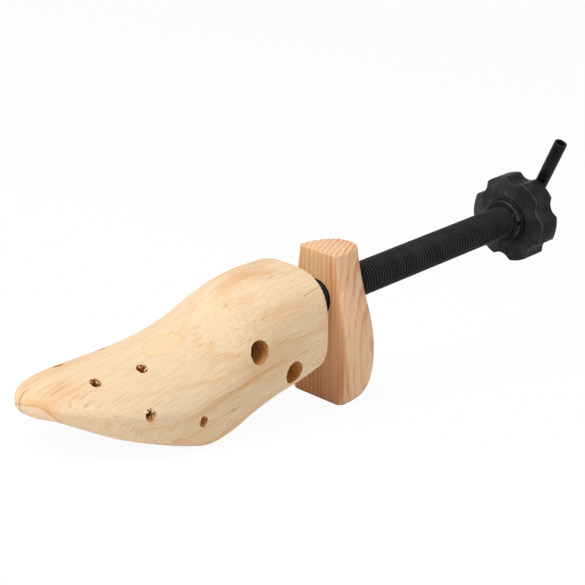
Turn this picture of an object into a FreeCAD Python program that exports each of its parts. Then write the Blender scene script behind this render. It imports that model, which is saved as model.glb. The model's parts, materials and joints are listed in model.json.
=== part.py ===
import FreeCAD, Part
import math
import os

from FreeCAD import Vector

# Two-way shoe stretcher. A wooden forepart is split lengthwise, and a wooden heel block rides on
# a threaded tube. The hand wheel turns the tube and so moves the heel block. The lever turns a rod
# inside the tube, which draws a wedge back between the two halves of the forepart.
#
# The pieces are drawn in the screw's frame: X along the screw towards the hand wheel, Y to the
# right half, Z up, and the origin on the screw's axis at the rear face of the forepart. At the end
# the whole is tilted to stand on the ball of the forepart and the front edge of the heel block.
# Lengths are in millimetres and angles in degrees.

# General clearances
overrun = 2.0
running_clearance = 0.05
press_clearance = 0.01
loose_clearance = 0.4
seat_clearance = 0.1

# Forepart: overall sizes of the shoe form
forepart_length = 188.0
ball_half_width = 38.4
instep_height = 30.0
ball_drop = 43.3
split_gap = 0.2
forepart_rim_rounding = 2.2

# Sections of the forepart from the rear face to the toe. Each row has the place along the length,
# the half width (of ball_half_width), the crest (of instep_height), the sole and the level of
# greatest width (both of ball_drop, downwards), then the squareness above and below that level.
section_shares = (
    (0.000, 0.810, 0.915, 0.735, 0.100, 2.95, 3.40),
    (0.080, 0.806, 0.952, 0.803, 0.110, 2.85, 3.80),
    (0.180, 0.812, 0.995, 0.834, 0.145, 2.40, 4.40),
    (0.290, 0.846, 0.930, 0.879, 0.208, 1.95, 5.40),
    (0.400, 0.909, 0.725, 0.935, 0.300, 1.65, 7.00),
    (0.500, 0.970, 0.590, 0.915, 0.346, 1.52, 8.50),
    (0.600, 1.000, 0.513, 0.764, 0.300, 1.48, 9.00),
    (0.700, 0.968, 0.478, 0.582, 0.208, 1.48, 9.00),
    (0.800, 0.855, 0.474, 0.392, 0.092, 1.52, 8.00),
    (0.880, 0.672, 0.462, 0.208, 0.000, 1.62, 6.50),
    (0.940, 0.460, 0.445, 0.068, -0.069, 1.75, 5.00),
    (0.980, 0.235, 0.410, 0.012, -0.104, 1.90, 3.40),
    (0.994, 0.125, 0.335, -0.044, -0.125, 2.00, 2.60),
    (1.000, 0.040, 0.250, -0.120, -0.145, 2.00, 2.00),
)
section_points = 24

# Blind holes for spreader buttons in each half: place along the length, out to the side (of
# ball_half_width) and up (of instep_height), then the direction of the mouth in X, side and up.
button_hole_shares = (
    (0.809, 0.375, 0.350, -0.12, 0.55, 0.83),
    (0.656, 0.427, 0.303, -0.05, 0.56, 0.83),
    (0.719, 0.938, -0.210, -0.20, 0.97, -0.10),
    (0.540, 0.985, -0.700, 0.00, 0.95, -0.30),
)
button_hole_radius = 3.0
button_hole_depth = 12.0

# Cross bores with the closing springs
cross_bore_radius = 6.5
front_bore_place = 54.0
front_bore_rise = 0.0
rear_bore_place = 27.0
rear_bore_drop = 21.0
plug_inner_side = 12.0
plug_length = 7.0
plug_neck_length = 5.0
spring_wire = 1.2
spring_mean_radius = 4.6
spring_turns = 13
spring_grip_clearance = 0.3

# Guide pin near the toe
guide_pin_radius = 3.0
guide_pin_reach = 18.0
guide_pin_place = 132.0
guide_pin_drop = 12.0

# Threaded tube
tube_radius = 10.0
tube_bore_radius = 5.5
thread_pitch = 2.4
thread_depth = 0.9
thread_crest_share = 0.25
thread_lead_in = 3.0
tube_seat_depth = 9.0
tube_neck_radius = 7.5
tube_neck_length = 5.5
bush_length = 12.0

# Keeper plate and the clip in front of it
keeper_thickness = 2.5
keeper_half_width = 19.0
keeper_half_height = 13.0
clip_thickness = 1.1
clip_radius = 9.5
clip_groove_depth = 0.9
clip_opening = 4.0
clip_pocket_length = 3.5

# Spreader rod, wedge and ramps
rod_radius = 3.0
wedge_length = 15.0
wedge_narrow_half = 5.0
wedge_half_height = 9.0
wedge_angle = 20.0
wedge_travel = 14.0
wedge_rest_place = 30.0
ramp_thickness = 2.0
ramp_front_margin = 0.5
ramp_rear_place = 19.0
rod_channel_radius = 3.6
rod_tip_margin = 0.5
cavity_end_margin = 0.5
screw_radius = 1.5
screw_head_radius = 2.8
screw_head_depth = 1.4
screw_length = 11.0
screw_rise = 6.3
screw_place = 40.0

# Heel block
heel_front_gap = 22.5
heel_drop = 63.4
heel_rise = 28.3
heel_top_slope = 4.6
heel_half_width = 22.4
heel_depth = 39.0
heel_corner_rounding = 2.0
heel_edge_rounding = 0.8
heel_bore_radius = 10.6
nut_radius = 11.2
nut_length = 22.5
nut_recess = 2.0
nut_rib_width = 3.0
nut_rib_height = 1.5

# Sections of the heel block from its top to its bottom. Each row has the level between the bottom
# and the top, the half width and the depth, as shares, and then the squareness of the rounded back.
heel_section_shares = (
    (1.050, 0.595, 0.705, 2.5),
    (0.860, 0.705, 0.745, 2.5),
    (0.695, 0.865, 0.795, 2.5),
    (0.530, 0.990, 0.880, 2.5),
    (0.365, 1.020, 0.965, 2.5),
    (0.223, 0.995, 1.005, 2.5),
    (0.115, 0.960, 0.995, 2.5),
    (0.048, 0.932, 0.970, 2.5),
    (0.000, 0.900, 0.940, 2.5),
)
heel_section_points = 16

# Hand wheel and lock ring
knob_place = 198.7
knob_radius = 27.5
knob_thickness = 15.8
knob_back_wall = 4.5
knob_boss_radius = 14.5
knob_boss_length = 3.2
knob_lobe_count = 6
knob_lobe_rounding = 1.8
knob_edge_rounding = 0.9
knob_notch_radius = 8.3
knob_notch_depth = 3.4
knob_notch_turn = 7.6
lock_ring_radius = 13.3
lock_ring_length = 3.0
lock_notch_width = 3.0
lock_notch_depth = 1.6
lock_notch_turn = 82.0

# Crank and its sleeve
crank_turn = 24.3
crank_bend_radius = 4.0
crank_reach = 46.0
crank_washer_radius = 7.0
crank_washer_thickness = 0.8
sleeve_radius = 4.15
sleeve_start = 9.0
sleeve_reach = 55.9

# How often the tilt is set right when the stretcher is stood on the ground
standing_count = 6

# Derived places along the screw
keeper_front = -tube_seat_depth - keeper_thickness
neck_end = -tube_seat_depth - tube_neck_length
clip_front = keeper_front - seat_clearance - clip_thickness
clip_pocket_end = keeper_front - clip_pocket_length
wedge_rear = -wedge_rest_place
wedge_front = wedge_rear - wedge_length
wedge_slope = math.tan(math.radians(wedge_angle))
wedge_wide_half = wedge_narrow_half + wedge_length * wedge_slope
rod_tip = wedge_front - rod_tip_margin
cavity_end = rod_tip - cavity_end_margin
heel_height = heel_rise + heel_drop
nut_front = heel_front_gap + nut_recess
nut_back = nut_front + nut_length
knob_back = knob_place + knob_thickness
tube_end = knob_back - knob_back_wall
boss_front = knob_place - knob_boss_length
lock_front = boss_front - lock_ring_length
washer_front = knob_back + seat_clearance
bend_start = washer_front + crank_washer_thickness
crank_place = bend_start + crank_bend_radius

ALONG = Vector(1, 0, 0)
ACROSS = Vector(0, 1, 0)
UP = Vector(0, 0, 1)


def along_screw(radius, start, end):
    """A round bar on the screw's axis, from one place along it to another."""
    return Part.makeCylinder(radius, end - start, Vector(start, 0, 0), ALONG)


def ring(outer, inner, start, end):
    """A plain ring on the screw's axis."""
    return along_screw(outer, start, end).cut(along_screw(inner, start - overrun, end + overrun))


def block(low, high):
    """A box between two corners."""
    size = high - low
    return Part.makeBox(size.x, size.y, size.z, low)


def mirrored(shape):
    """The same shape for the left half."""
    return shape.mirror(Vector(0, 0, 0), ACROSS)


def edges_across(shape, place):
    """The edges of a shape that lie square to the screw at one place along it."""
    found = []
    for edge in shape.Edges:
        box = edge.BoundBox
        if max(abs(box.XMin - place), abs(box.XMax - place)) < press_clearance:
            found.append(edge)
    return found


def squared_circle(angle, squareness):
    """A point of a unit circle that is drawn towards a square, as two coordinates."""
    power = 2.0 / squareness
    side = math.copysign(abs(math.cos(angle)) ** power, math.cos(angle))
    height = math.copysign(abs(math.sin(angle)) ** power, math.sin(angle))
    return side, height


# Forepart


def forepart_section(row):
    """Half of one section of the forepart, closed along the split."""
    place, width, crest, sole, level, square_above, square_below = row
    middle = -level * ball_drop
    above = crest * instep_height - middle
    below = sole * ball_drop + middle
    points = []
    for step in range(section_points + 1):
        angle = math.pi * (0.5 - step / section_points)
        upper = angle >= 0
        side, height = squared_circle(angle, square_above if upper else square_below)
        rise = middle + height * (above if upper else below)
        out = split_gap / 2 + max(side, 0) * width * ball_half_width
        points.append(Vector(-place * forepart_length, out, rise))
    curve = Part.BSplineCurve()
    curve.interpolate(points)
    return Part.Wire([curve.toShape(), Part.makeLine(points[-1], points[0])])


def button_holes():
    """The blind holes of the right half, each with its mouth and its direction outwards."""
    holes = []
    for along, side, rise, out_x, out_y, out_z in button_hole_shares:
        mouth = Vector(-along * forepart_length, side * ball_half_width, rise * instep_height)
        outward = Vector(out_x, out_y, out_z).normalize()
        holes.append((mouth, outward))
    return holes


def cross_bore_centres():
    """Where the two cross bores pass through the split."""
    front = Vector(-front_bore_place, 0, front_bore_rise)
    rear = Vector(-rear_bore_place, 0, -rear_bore_drop)
    return front, rear


def ramp_line(offset, start, end):
    """The two ends of a line beside the wedge's right face, this far outside the face."""
    shift = offset / math.cos(math.radians(wedge_angle))
    line = []
    for place in (start, end):
        line.append(Vector(place, wedge_narrow_half + (wedge_rear - place) * wedge_slope + shift, 0))
    return line


def upright_prism(points, half_height):
    """A prism over a flat outline, as tall above the screw's axis as below it."""
    outline = [point - UP * half_height for point in points]
    face = Part.Face(Part.makePolygon(outline + outline[:1]))
    return face.extrude(UP * (2 * half_height))


def wedge_cavity():
    """The room for the wedge and the ramp in the right half."""
    outside = seat_clearance + ramp_thickness
    front, rear = ramp_line(outside, cavity_end, clip_pocket_end)
    back_edge = Vector(clip_pocket_end, -overrun, 0)
    front_edge = Vector(cavity_end, -overrun, 0)
    return upright_prism([front, rear, back_edge, front_edge], wedge_half_height + seat_clearance)


def keeper_slot():
    """The slot that guides the right half on the keeper plate."""
    room = Vector(seat_clearance, seat_clearance, seat_clearance)
    low = Vector(keeper_front, -keeper_half_width, -keeper_half_height) - room
    high = Vector(-tube_seat_depth, keeper_half_width, keeper_half_height) + room
    return block(low, high)


def guide_pin(radius, start, end):
    """A bar across the split at the guide pin's place."""
    foot = Vector(-guide_pin_place, start, -guide_pin_drop)
    return Part.makeCylinder(radius, end - start, foot, ACROSS)


def forepart_half():
    """The right half of the forepart without its guide pin's hole."""
    half = Part.makeLoft([forepart_section(row) for row in section_shares], True, False)
    rim = [edge for edge in edges_across(half, 0) if edge.BoundBox.YLength > split_gap]
    half = half.makeFillet(forepart_rim_rounding, rim)
    cuts = [
        along_screw(tube_radius + loose_clearance, -tube_seat_depth, overrun),
        along_screw(tube_radius + loose_clearance, clip_pocket_end, keeper_front + overrun),
        along_screw(rod_channel_radius, cavity_end, -tube_seat_depth),
        keeper_slot(),
        wedge_cavity(),
    ]
    for centre in cross_bore_centres():
        cuts.append(Part.makeCylinder(cross_bore_radius, 2 * ball_half_width, centre, ACROSS))
    for mouth, outward in button_holes():
        foot = mouth - outward * button_hole_depth
        length = button_hole_depth + 2 * overrun
        cuts.append(Part.makeCylinder(button_hole_radius, length, foot, outward))
    for screw in ramp_screws(press_clearance):
        cuts.append(screw)
    for cut in cuts:
        half = half.cut(cut)
    return half


def ramp():
    """The steel ramp of the right half, forked around the rod."""
    start = wedge_front + ramp_front_margin
    inner = ramp_line(seat_clearance, start, -ramp_rear_place)
    outer = ramp_line(seat_clearance + ramp_thickness - press_clearance, start, -ramp_rear_place)
    plate = upright_prism([inner[0], inner[1], outer[1], outer[0]], wedge_half_height)
    plate = plate.cut(along_screw(rod_channel_radius, rod_tip, -tube_seat_depth))
    for screw in ramp_screws(running_clearance):
        plate = plate.cut(screw)
    return plate


def ramp_screws(spare):
    """The ramp's two countersunk screws, larger all round by the spare."""
    turn = math.radians(wedge_angle)
    outward = Vector(math.sin(turn), math.cos(turn), 0)
    on_face = ramp_line(seat_clearance, -screw_place, -screw_place)[0]
    screws = []
    for rise in (screw_rise, -screw_rise):
        foot = on_face + UP * rise
        shank_radius = screw_radius + spare
        head = Part.makeCone(screw_head_radius + spare, shank_radius, screw_head_depth, foot, outward)
        shank = Part.makeCylinder(shank_radius, screw_length + spare, foot, outward)
        screws.append(head.fuse(shank).removeSplitter())
    return screws


def spring_plugs():
    """The two spring anchors of the right half, each with a neck inside the spring's end."""
    neck_radius = spring_mean_radius - spring_wire / 2 - spring_grip_clearance
    plugs = []
    for centre in cross_bore_centres():
        seat = centre + ACROSS * plug_inner_side
        body = Part.makeCylinder(cross_bore_radius - press_clearance, plug_length, seat, ACROSS)
        neck = Part.makeCylinder(neck_radius, plug_neck_length, seat - ACROSS * plug_neck_length, ACROSS)
        plugs.append(body.fuse(neck).removeSplitter())
    return plugs


# Springs


def arc_in_corner(start, corner, end):
    """The arc from one point to another that leaves and arrives along the sides of a corner."""
    middle = (start + end) * 0.5
    half_turn = math.acos((middle - start).Length / (corner - start).Length)
    rise_share = math.tan(half_turn / 2) / math.tan(half_turn)
    return Part.Arc(start, middle + (corner - middle) * rise_share, end).toShape()


def spring_point(centre, start, pitch, turn):
    """A point of the spring's centre line and the direction of the wire there."""
    angle = 2 * math.pi * turn
    radial = Vector(math.cos(angle), 0, math.sin(angle))
    tangent = Vector(-math.sin(angle), 0, math.cos(angle)) * (2 * math.pi * spring_mean_radius)
    point = centre + radial * spring_mean_radius + ACROSS * (start + pitch * turn)
    return point, (tangent + ACROSS * pitch).normalize()


def closing_spring(centre):
    """A tension spring across the split, as one unbroken wire, and its least gap to itself."""
    reach = plug_inner_side - seat_clearance - spring_wire / 2
    pitch = 2 * reach / spring_turns
    quarters = 4 * spring_turns
    edges = []
    points = []
    for quarter in range(quarters):
        first, leaving = spring_point(centre, -reach, pitch, quarter / 4)
        last, arriving = spring_point(centre, -reach, pitch, (quarter + 1) / 4)
        chord = last - first
        along = chord.dot(leaving + arriving)
        spread = 2 * (1 - leaving.dot(arriving))
        side = (math.sqrt(along ** 2 + spread * chord.dot(chord)) - along) / spread
        corner_a = first + leaving * side
        corner_b = last - arriving * side
        joint = (corner_a + corner_b) * 0.5
        edges.append(arc_in_corner(first, corner_a, joint))
        edges.append(arc_in_corner(joint, corner_b, last))
        points += [first, joint]
    foot, leaving = spring_point(centre, -reach, pitch, 0)
    profile = Part.Wire(Part.makeCircle(spring_wire / 2, foot, leaving))
    coil = Part.Wire(edges).makePipeShell([profile], True, False)
    half_turn_points = len(points) // (2 * spring_turns)
    gaps = []
    for index, point in enumerate(points):
        for other in points[index + half_turn_points:]:
            gaps.append(point.distanceToPoint(other))
    return coil, min(gaps) - spring_wire


# Screw, wheel and crank


def threaded_tube():
    """The tube with its ridges, its neck for the keeper plate and its bore."""
    root = tube_radius - thread_depth
    half_land = thread_pitch * thread_crest_share / 2
    grooves = []
    place = thread_lead_in - tube_seat_depth
    while place + thread_pitch < lock_front:
        mouth_start = Vector(place + half_land, 0, tube_radius)
        mouth_end = Vector(place + thread_pitch - half_land, 0, tube_radius)
        bottom = Vector(place + thread_pitch / 2, 0, root)
        grooves.append((mouth_start, bottom, mouth_end))
        place += thread_pitch
    profile = [Vector(-tube_seat_depth, 0, 0), Vector(-tube_seat_depth, 0, tube_radius)]
    for groove in grooves:
        profile += groove
    profile += [Vector(tube_end, 0, tube_radius), Vector(tube_end, 0, 0)]
    face = Part.Face(Part.makePolygon(profile + profile[:1]))
    tube = face.revolve(Vector(0, 0, 0), ALONG, 360)
    tube = tube.fuse(along_screw(tube_neck_radius, neck_end, -tube_seat_depth))
    clip_groove = ring(tube_radius, tube_neck_radius - clip_groove_depth,
                       clip_front - seat_clearance, keeper_front)
    bore = along_screw(tube_bore_radius, neck_end - overrun, tube_end + overrun)
    return tube.cut(clip_groove).cut(bore)


def tube_clip():
    """The open clip in the groove of the tube's neck."""
    inner = tube_neck_radius - clip_groove_depth + running_clearance
    clip = ring(clip_radius, inner, clip_front, clip_front + clip_thickness)
    half = clip_opening / 2
    low = Vector(clip_front - overrun, -half, -clip_radius - overrun)
    high = Vector(clip_front + clip_thickness + overrun, half, 0)
    return clip.cut(block(low, high))


def keeper_plate():
    """The plate that carries the front of the tube and guides both halves."""
    low = Vector(keeper_front, -keeper_half_width, -keeper_half_height)
    high = Vector(-tube_seat_depth - running_clearance, keeper_half_width, keeper_half_height)
    hole = along_screw(tube_neck_radius + running_clearance, keeper_front - overrun, overrun)
    return block(low, high).cut(hole)


def rod_bushes():
    """The two bushes that carry the rod in the tube."""
    bushes = []
    for start in (neck_end, tube_end - bush_length):
        outer = tube_bore_radius - press_clearance
        bushes.append(ring(outer, rod_radius + running_clearance, start, start + bush_length))
    return bushes


def lobed_rim():
    """The rim of the hand wheel with its finger notches, rounded all over."""
    rim = along_screw(knob_radius, knob_place, knob_back)
    notch_distance = knob_radius - knob_notch_depth + knob_notch_radius
    for lobe in range(knob_lobe_count):
        turn = math.radians(knob_notch_turn + lobe * 360 / knob_lobe_count)
        outward = Vector(0, -math.sin(turn), math.cos(turn))
        foot = Vector(knob_place - overrun, 0, 0) + outward * notch_distance
        rim = rim.cut(Part.makeCylinder(knob_notch_radius, knob_thickness + 2 * overrun, foot, ALONG))
    lobe_edges = [edge for edge in rim.Edges if edge.BoundBox.XLength > knob_thickness / 2]
    rim = rim.makeFillet(knob_lobe_rounding, lobe_edges)
    return rim.makeFillet(knob_edge_rounding, edges_across(rim, knob_place) + edges_across(rim, knob_back))


def knob():
    """The hand wheel: a lobed rim, a boss at the front and a wall at the back."""
    wheel = lobed_rim().fuse(along_screw(knob_boss_radius, boss_front, knob_place)).removeSplitter()
    socket = along_screw(tube_radius + press_clearance, boss_front - overrun, tube_end + press_clearance)
    rod_hole = along_screw(rod_radius + loose_clearance, boss_front, knob_back + overrun)
    return wheel.cut(socket).cut(rod_hole)


def lock_ring():
    """The round nut in front of the hand wheel, with one spanner notch."""
    nut = ring(lock_ring_radius, tube_radius + press_clearance, lock_front, boss_front)
    half = lock_notch_width / 2
    low = Vector(lock_front - overrun, -half, lock_ring_radius - lock_notch_depth)
    high = Vector(boss_front + overrun, half, lock_ring_radius + overrun)
    notch = block(low, high)
    notch.rotate(Vector(0, 0, 0), ALONG, lock_notch_turn)
    return nut.cut(notch)


def crank_direction():
    """The way the lever points, square to the screw."""
    turn = math.radians(crank_turn)
    return Vector(0, -math.sin(turn), math.cos(turn))


def spreader_rod():
    """The inner rod with its bent end, which is the core of the lever."""
    straight = along_screw(rod_radius, rod_tip, bend_start)
    lever = crank_direction()
    turning_point = Vector(bend_start, 0, 0) + lever * crank_bend_radius
    section = Part.Face(Part.Wire(Part.makeCircle(rod_radius, Vector(bend_start, 0, 0), ALONG)))
    bend = section.revolve(turning_point, ALONG.cross(lever), 90)
    foot = Vector(crank_place, 0, 0) + lever * crank_bend_radius
    arm = Part.makeCylinder(rod_radius, crank_reach - crank_bend_radius, foot, lever)
    return straight.fuse([bend, arm]).removeSplitter()


def lever_sleeve():
    """The sleeve on the lever, open at its end."""
    lever = crank_direction()
    foot = Vector(crank_place, 0, 0) + lever * sleeve_start
    length = sleeve_reach - sleeve_start
    sleeve = Part.makeCylinder(sleeve_radius, length, foot, lever)
    bore_foot = foot - lever * overrun
    bore = Part.makeCylinder(rod_radius + press_clearance, length + 2 * overrun, bore_foot, lever)
    return sleeve.cut(bore)


def spreader_wedge():
    """The wedge nut on the rod."""
    corners = [
        Vector(wedge_front, -wedge_wide_half, 0),
        Vector(wedge_rear, -wedge_narrow_half, 0),
        Vector(wedge_rear, wedge_narrow_half, 0),
        Vector(wedge_front, wedge_wide_half, 0),
    ]
    bore = along_screw(rod_radius + running_clearance, wedge_front - overrun, wedge_rear + overrun)
    return upright_prism(corners, wedge_half_height - seat_clearance).cut(bore)


# Heel block


def heel_section(row):
    """One level of the heel block: a flat front and a rounded back."""
    level, width, depth, squareness = row
    rise = level * heel_height - heel_drop
    points = []
    for step in range(heel_section_points + 1):
        angle = math.pi * (step / heel_section_points - 0.5)
        back, side = squared_circle(angle, squareness)
        place = heel_front_gap + max(back, 0) * depth * heel_depth
        points.append(Vector(place, side * width * heel_half_width, rise))
    curve = Part.BSplineCurve()
    curve.interpolate(points)
    return Part.Wire([curve.toShape(), Part.makeLine(points[-1], points[0])])


def nut_ribs(spare, end):
    """The two ribs that keep the heel nut from turning, larger by the spare and up to an end."""
    half = nut_rib_width / 2 + spare
    reach = nut_radius + nut_rib_height + spare
    return block(Vector(nut_front - spare, -reach, -half), Vector(end, reach, half))


def heel_block():
    """The wooden heel block, bored for the tube, and from the back for the heel nut."""
    wood = Part.makeLoft([heel_section(row) for row in heel_section_shares], True, False)
    lid_length = 2 * heel_depth
    lid = Part.makeBox(lid_length, lid_length, heel_rise, Vector(-overrun, -heel_depth, 0))
    lid.rotate(Vector(0, 0, 0), ACROSS, heel_top_slope)
    lid.translate(Vector(heel_front_gap, 0, heel_rise))
    wood = wood.cut(lid)
    corners = [edge for edge in edges_across(wood, heel_front_gap) if edge.BoundBox.ZLength > heel_drop]
    wood = wood.makeFillet(heel_corner_rounding, corners)
    level_edges = []
    for edge in wood.Edges:
        if edge.BoundBox.ZMin > heel_rise / 2 or edge.BoundBox.ZMax < heel_edge_rounding - heel_drop:
            level_edges.append(edge)
    wood = wood.makeFillet(heel_edge_rounding, level_edges)
    bore_end = heel_front_gap + lid_length
    wood = wood.cut(along_screw(heel_bore_radius, heel_front_gap - overrun, bore_end))
    wood = wood.cut(along_screw(nut_radius + press_clearance, nut_front - press_clearance, bore_end))
    return wood.cut(nut_ribs(press_clearance, bore_end))


def heel_nut():
    """The threaded bush of the heel block."""
    nut = along_screw(nut_radius, nut_front, nut_back).fuse(nut_ribs(0, nut_back)).removeSplitter()
    return nut.cut(along_screw(tube_radius + running_clearance, nut_front - overrun, nut_back + overrun))


# Assembly


def make_pieces():
    """All pieces by name, in the screw's frame."""
    half = forepart_half()
    pin_hole = guide_pin(guide_pin_radius + press_clearance, -overrun, guide_pin_reach + press_clearance)
    pin_slide = guide_pin(guide_pin_radius + running_clearance, -overrun, guide_pin_reach + loose_clearance)
    screws = ramp_screws(0)
    plugs = spring_plugs()
    front_bore, rear_bore = cross_bore_centres()
    front_spring, front_gap = closing_spring(front_bore)
    rear_spring, rear_gap = closing_spring(rear_bore)
    print("least gap between turns, mm:", round(min(front_gap, rear_gap), 3))
    return {
        "forepart_left": mirrored(half.cut(pin_hole)),
        "forepart_right": half.cut(pin_slide),
        "left_ramp": mirrored(ramp()),
        "right_ramp": ramp(),
        "left_ramp_screws": Part.makeCompound([mirrored(screw) for screw in screws]),
        "right_ramp_screws": Part.makeCompound(screws),
        "left_spring_plugs": Part.makeCompound([mirrored(plug) for plug in plugs]),
        "right_spring_plugs": Part.makeCompound(plugs),
        "guide_pin": guide_pin(guide_pin_radius, -guide_pin_reach, guide_pin_reach),
        "front_spring": front_spring,
        "rear_spring": rear_spring,
        "keeper_plate": keeper_plate(),
        "tube_clip": tube_clip(),
        "threaded_tube": threaded_tube(),
        "rod_bushes": Part.makeCompound(rod_bushes()),
        "knob": knob(),
        "lock_ring": lock_ring(),
        "spreader_rod": spreader_rod(),
        "crank_washer": ring(crank_washer_radius, rod_radius + running_clearance, washer_front, bend_start),
        "lever_sleeve": lever_sleeve(),
        "spreader_wedge": spreader_wedge(),
        "heel_block": heel_block(),
        "heel_nut": heel_nut(),
    }


def lowest(shape, tilt):
    """The lowest level of a shape once the screw's rear end is tilted up."""
    copy = shape.copy()
    copy.rotate(Vector(0, 0, 0), ACROSS, -tilt)
    return copy.optimalBoundingBox(False, False).ZMin


def standing_tilt(pieces):
    """The tilt at which the forepart and the heel block stand on one level."""
    ball_place = forepart_length / 2
    tilt = math.degrees(math.atan2(heel_drop - ball_drop, ball_place + heel_front_gap))
    for _ in range(standing_count):
        gap = lowest(pieces["forepart_left"], tilt) - lowest(pieces["heel_block"], tilt)
        tilt += math.degrees(gap / (ball_place + heel_front_gap))
    return tilt


def stand(pieces):
    """Tilts the pieces and puts them on the ground, with the origin under their middle."""
    tilt = standing_tilt(pieces)
    for shape in pieces.values():
        shape.rotate(Vector(0, 0, 0), ACROSS, -tilt)
    box = Part.makeCompound(list(pieces.values())).optimalBoundingBox(False, False)
    shift = Vector(-box.Center.x, -box.Center.y, -box.ZMin)
    for shape in pieces.values():
        shape.translate(shift)
    print("tilt, degrees:", round(tilt, 6))
    print("shift, mm:", [round(value, 6) for value in shift])
    print("size, mm:", round(box.XLength, 3), round(box.YLength, 3), round(box.ZLength, 3))


def main():
    pieces = make_pieces()
    stand(pieces)
    os.makedirs("parts", exist_ok=True)
    for name, shape in pieces.items():
        shape.exportStep(os.path.join("parts", name + ".step"))
        solids = len(shape.Solids)
        print(name, "solids", solids, "valid", shape.isValid(), "volume", round(shape.Volume, 1))


main()
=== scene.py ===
import json
import math
import random
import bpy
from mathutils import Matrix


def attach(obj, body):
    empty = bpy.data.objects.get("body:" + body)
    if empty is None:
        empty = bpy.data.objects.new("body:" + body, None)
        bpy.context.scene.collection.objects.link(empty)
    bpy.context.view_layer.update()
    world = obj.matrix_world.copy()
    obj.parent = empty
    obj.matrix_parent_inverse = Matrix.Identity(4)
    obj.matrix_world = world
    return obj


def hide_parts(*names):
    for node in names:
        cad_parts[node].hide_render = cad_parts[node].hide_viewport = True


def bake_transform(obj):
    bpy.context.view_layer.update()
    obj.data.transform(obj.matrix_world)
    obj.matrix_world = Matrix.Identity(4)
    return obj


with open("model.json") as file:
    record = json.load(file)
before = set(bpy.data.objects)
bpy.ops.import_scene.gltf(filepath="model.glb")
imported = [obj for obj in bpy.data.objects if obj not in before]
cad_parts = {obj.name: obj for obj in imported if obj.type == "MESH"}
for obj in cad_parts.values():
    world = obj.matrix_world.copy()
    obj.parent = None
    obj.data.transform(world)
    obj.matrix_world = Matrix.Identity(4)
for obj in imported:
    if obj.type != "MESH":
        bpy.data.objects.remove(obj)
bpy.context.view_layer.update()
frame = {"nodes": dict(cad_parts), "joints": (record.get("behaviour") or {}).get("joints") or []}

from types import SimpleNamespace

import bmesh
import bpy
import numpy as np
from bpy.props import FloatProperty, FloatVectorProperty, IntProperty, PointerProperty
from bpy.types import NodeSocket, Operator, Panel, PropertyGroup
from mathutils import Matrix, Vector

bl_info = {
    "name": "Shoe Stretcher",
    "version": (1, 0, 0),
    "blender": (4, 5, 0),
    "location": "View3D > Sidebar > Stretcher",
    "description": "Dresses the two-way shoe stretcher: shaped wood, black screw, hand wheel and lever",
    "category": "Object",
}

JOINTS = {joint["name"]: joint for joint in frame["joints"]}
MM = 0.001
FULL_TURN = 2 * math.pi
QUARTER_TURN = math.pi / 2


def screw_frame():
    """The matrix from the screw's frame, X towards the hand wheel, to the row frame."""
    joint = JOINTS["knob_turn"]
    along = -Vector(joint["axis"])
    across = Vector((0, 1, 0))
    matrix = Matrix((along, across, along.cross(across))).transposed().to_4x4()
    matrix.translation = Vector(joint["pos_m"])
    return matrix


SCREW = screw_frame()


# Settings


def distance(name, description, default):
    """A length, with its default given in millimetres."""
    return FloatProperty(name=name, description=description, default=default * MM,
                         subtype="DISTANCE", unit="LENGTH", precision=4)


def angle(name, description, default):
    """An angle, with its default given in degrees."""
    return FloatProperty(name=name, description=description, default=math.radians(default),
                         subtype="ANGLE", unit="ROTATION")


def colour(name, description, default):
    """A plain colour."""
    return FloatVectorProperty(name=name, description=description, default=default,
                               subtype="COLOR", size=3, min=0, max=1)


def in_mm(settings):
    """The values of a settings group by name, with the lengths in millimetres."""
    values = SimpleNamespace()
    for name in type(settings).__annotations__:
        value = getattr(settings, name)
        if settings.bl_rna.properties[name].subtype == "DISTANCE":
            value /= MM
        setattr(values, name, value)
    return values


class WoodSettings(PropertyGroup):
    pale_early: colour("Pale spring wood", "Ground colour of the forepart", (0.765, 0.570, 0.372))
    pale_late: colour("Pale summer wood", "Growth lines of the forepart", (0.690, 0.385, 0.170))
    red_early: colour("Red spring wood", "Ground colour of the heel block", (0.800, 0.525, 0.305))
    red_late: colour("Red summer wood", "Growth lines of the heel block", (0.620, 0.245, 0.105))
    bored: colour("Bored wood", "Rough wood inside the holes", (0.740, 0.360, 0.115))
    torn: colour("Torn fibres", "Loose fibres at the mouths of the holes", (0.860, 0.640, 0.400))
    # The stain colour also paints the shade in the seam at the toe and the contact shadow at the heel
    # block's foot.
    stain: colour("Stain", "Cracks, resin flecks, painted shade in the seam and painted shadow at the heel's foot", (0.300, 0.150, 0.060))
    pale_spacing: distance("Pale ring spacing", "Distance between growth rings of the forepart", 7.5)
    red_spacing: distance("Red ring spacing", "Distance between growth rings of the heel block", 2.9)


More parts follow.
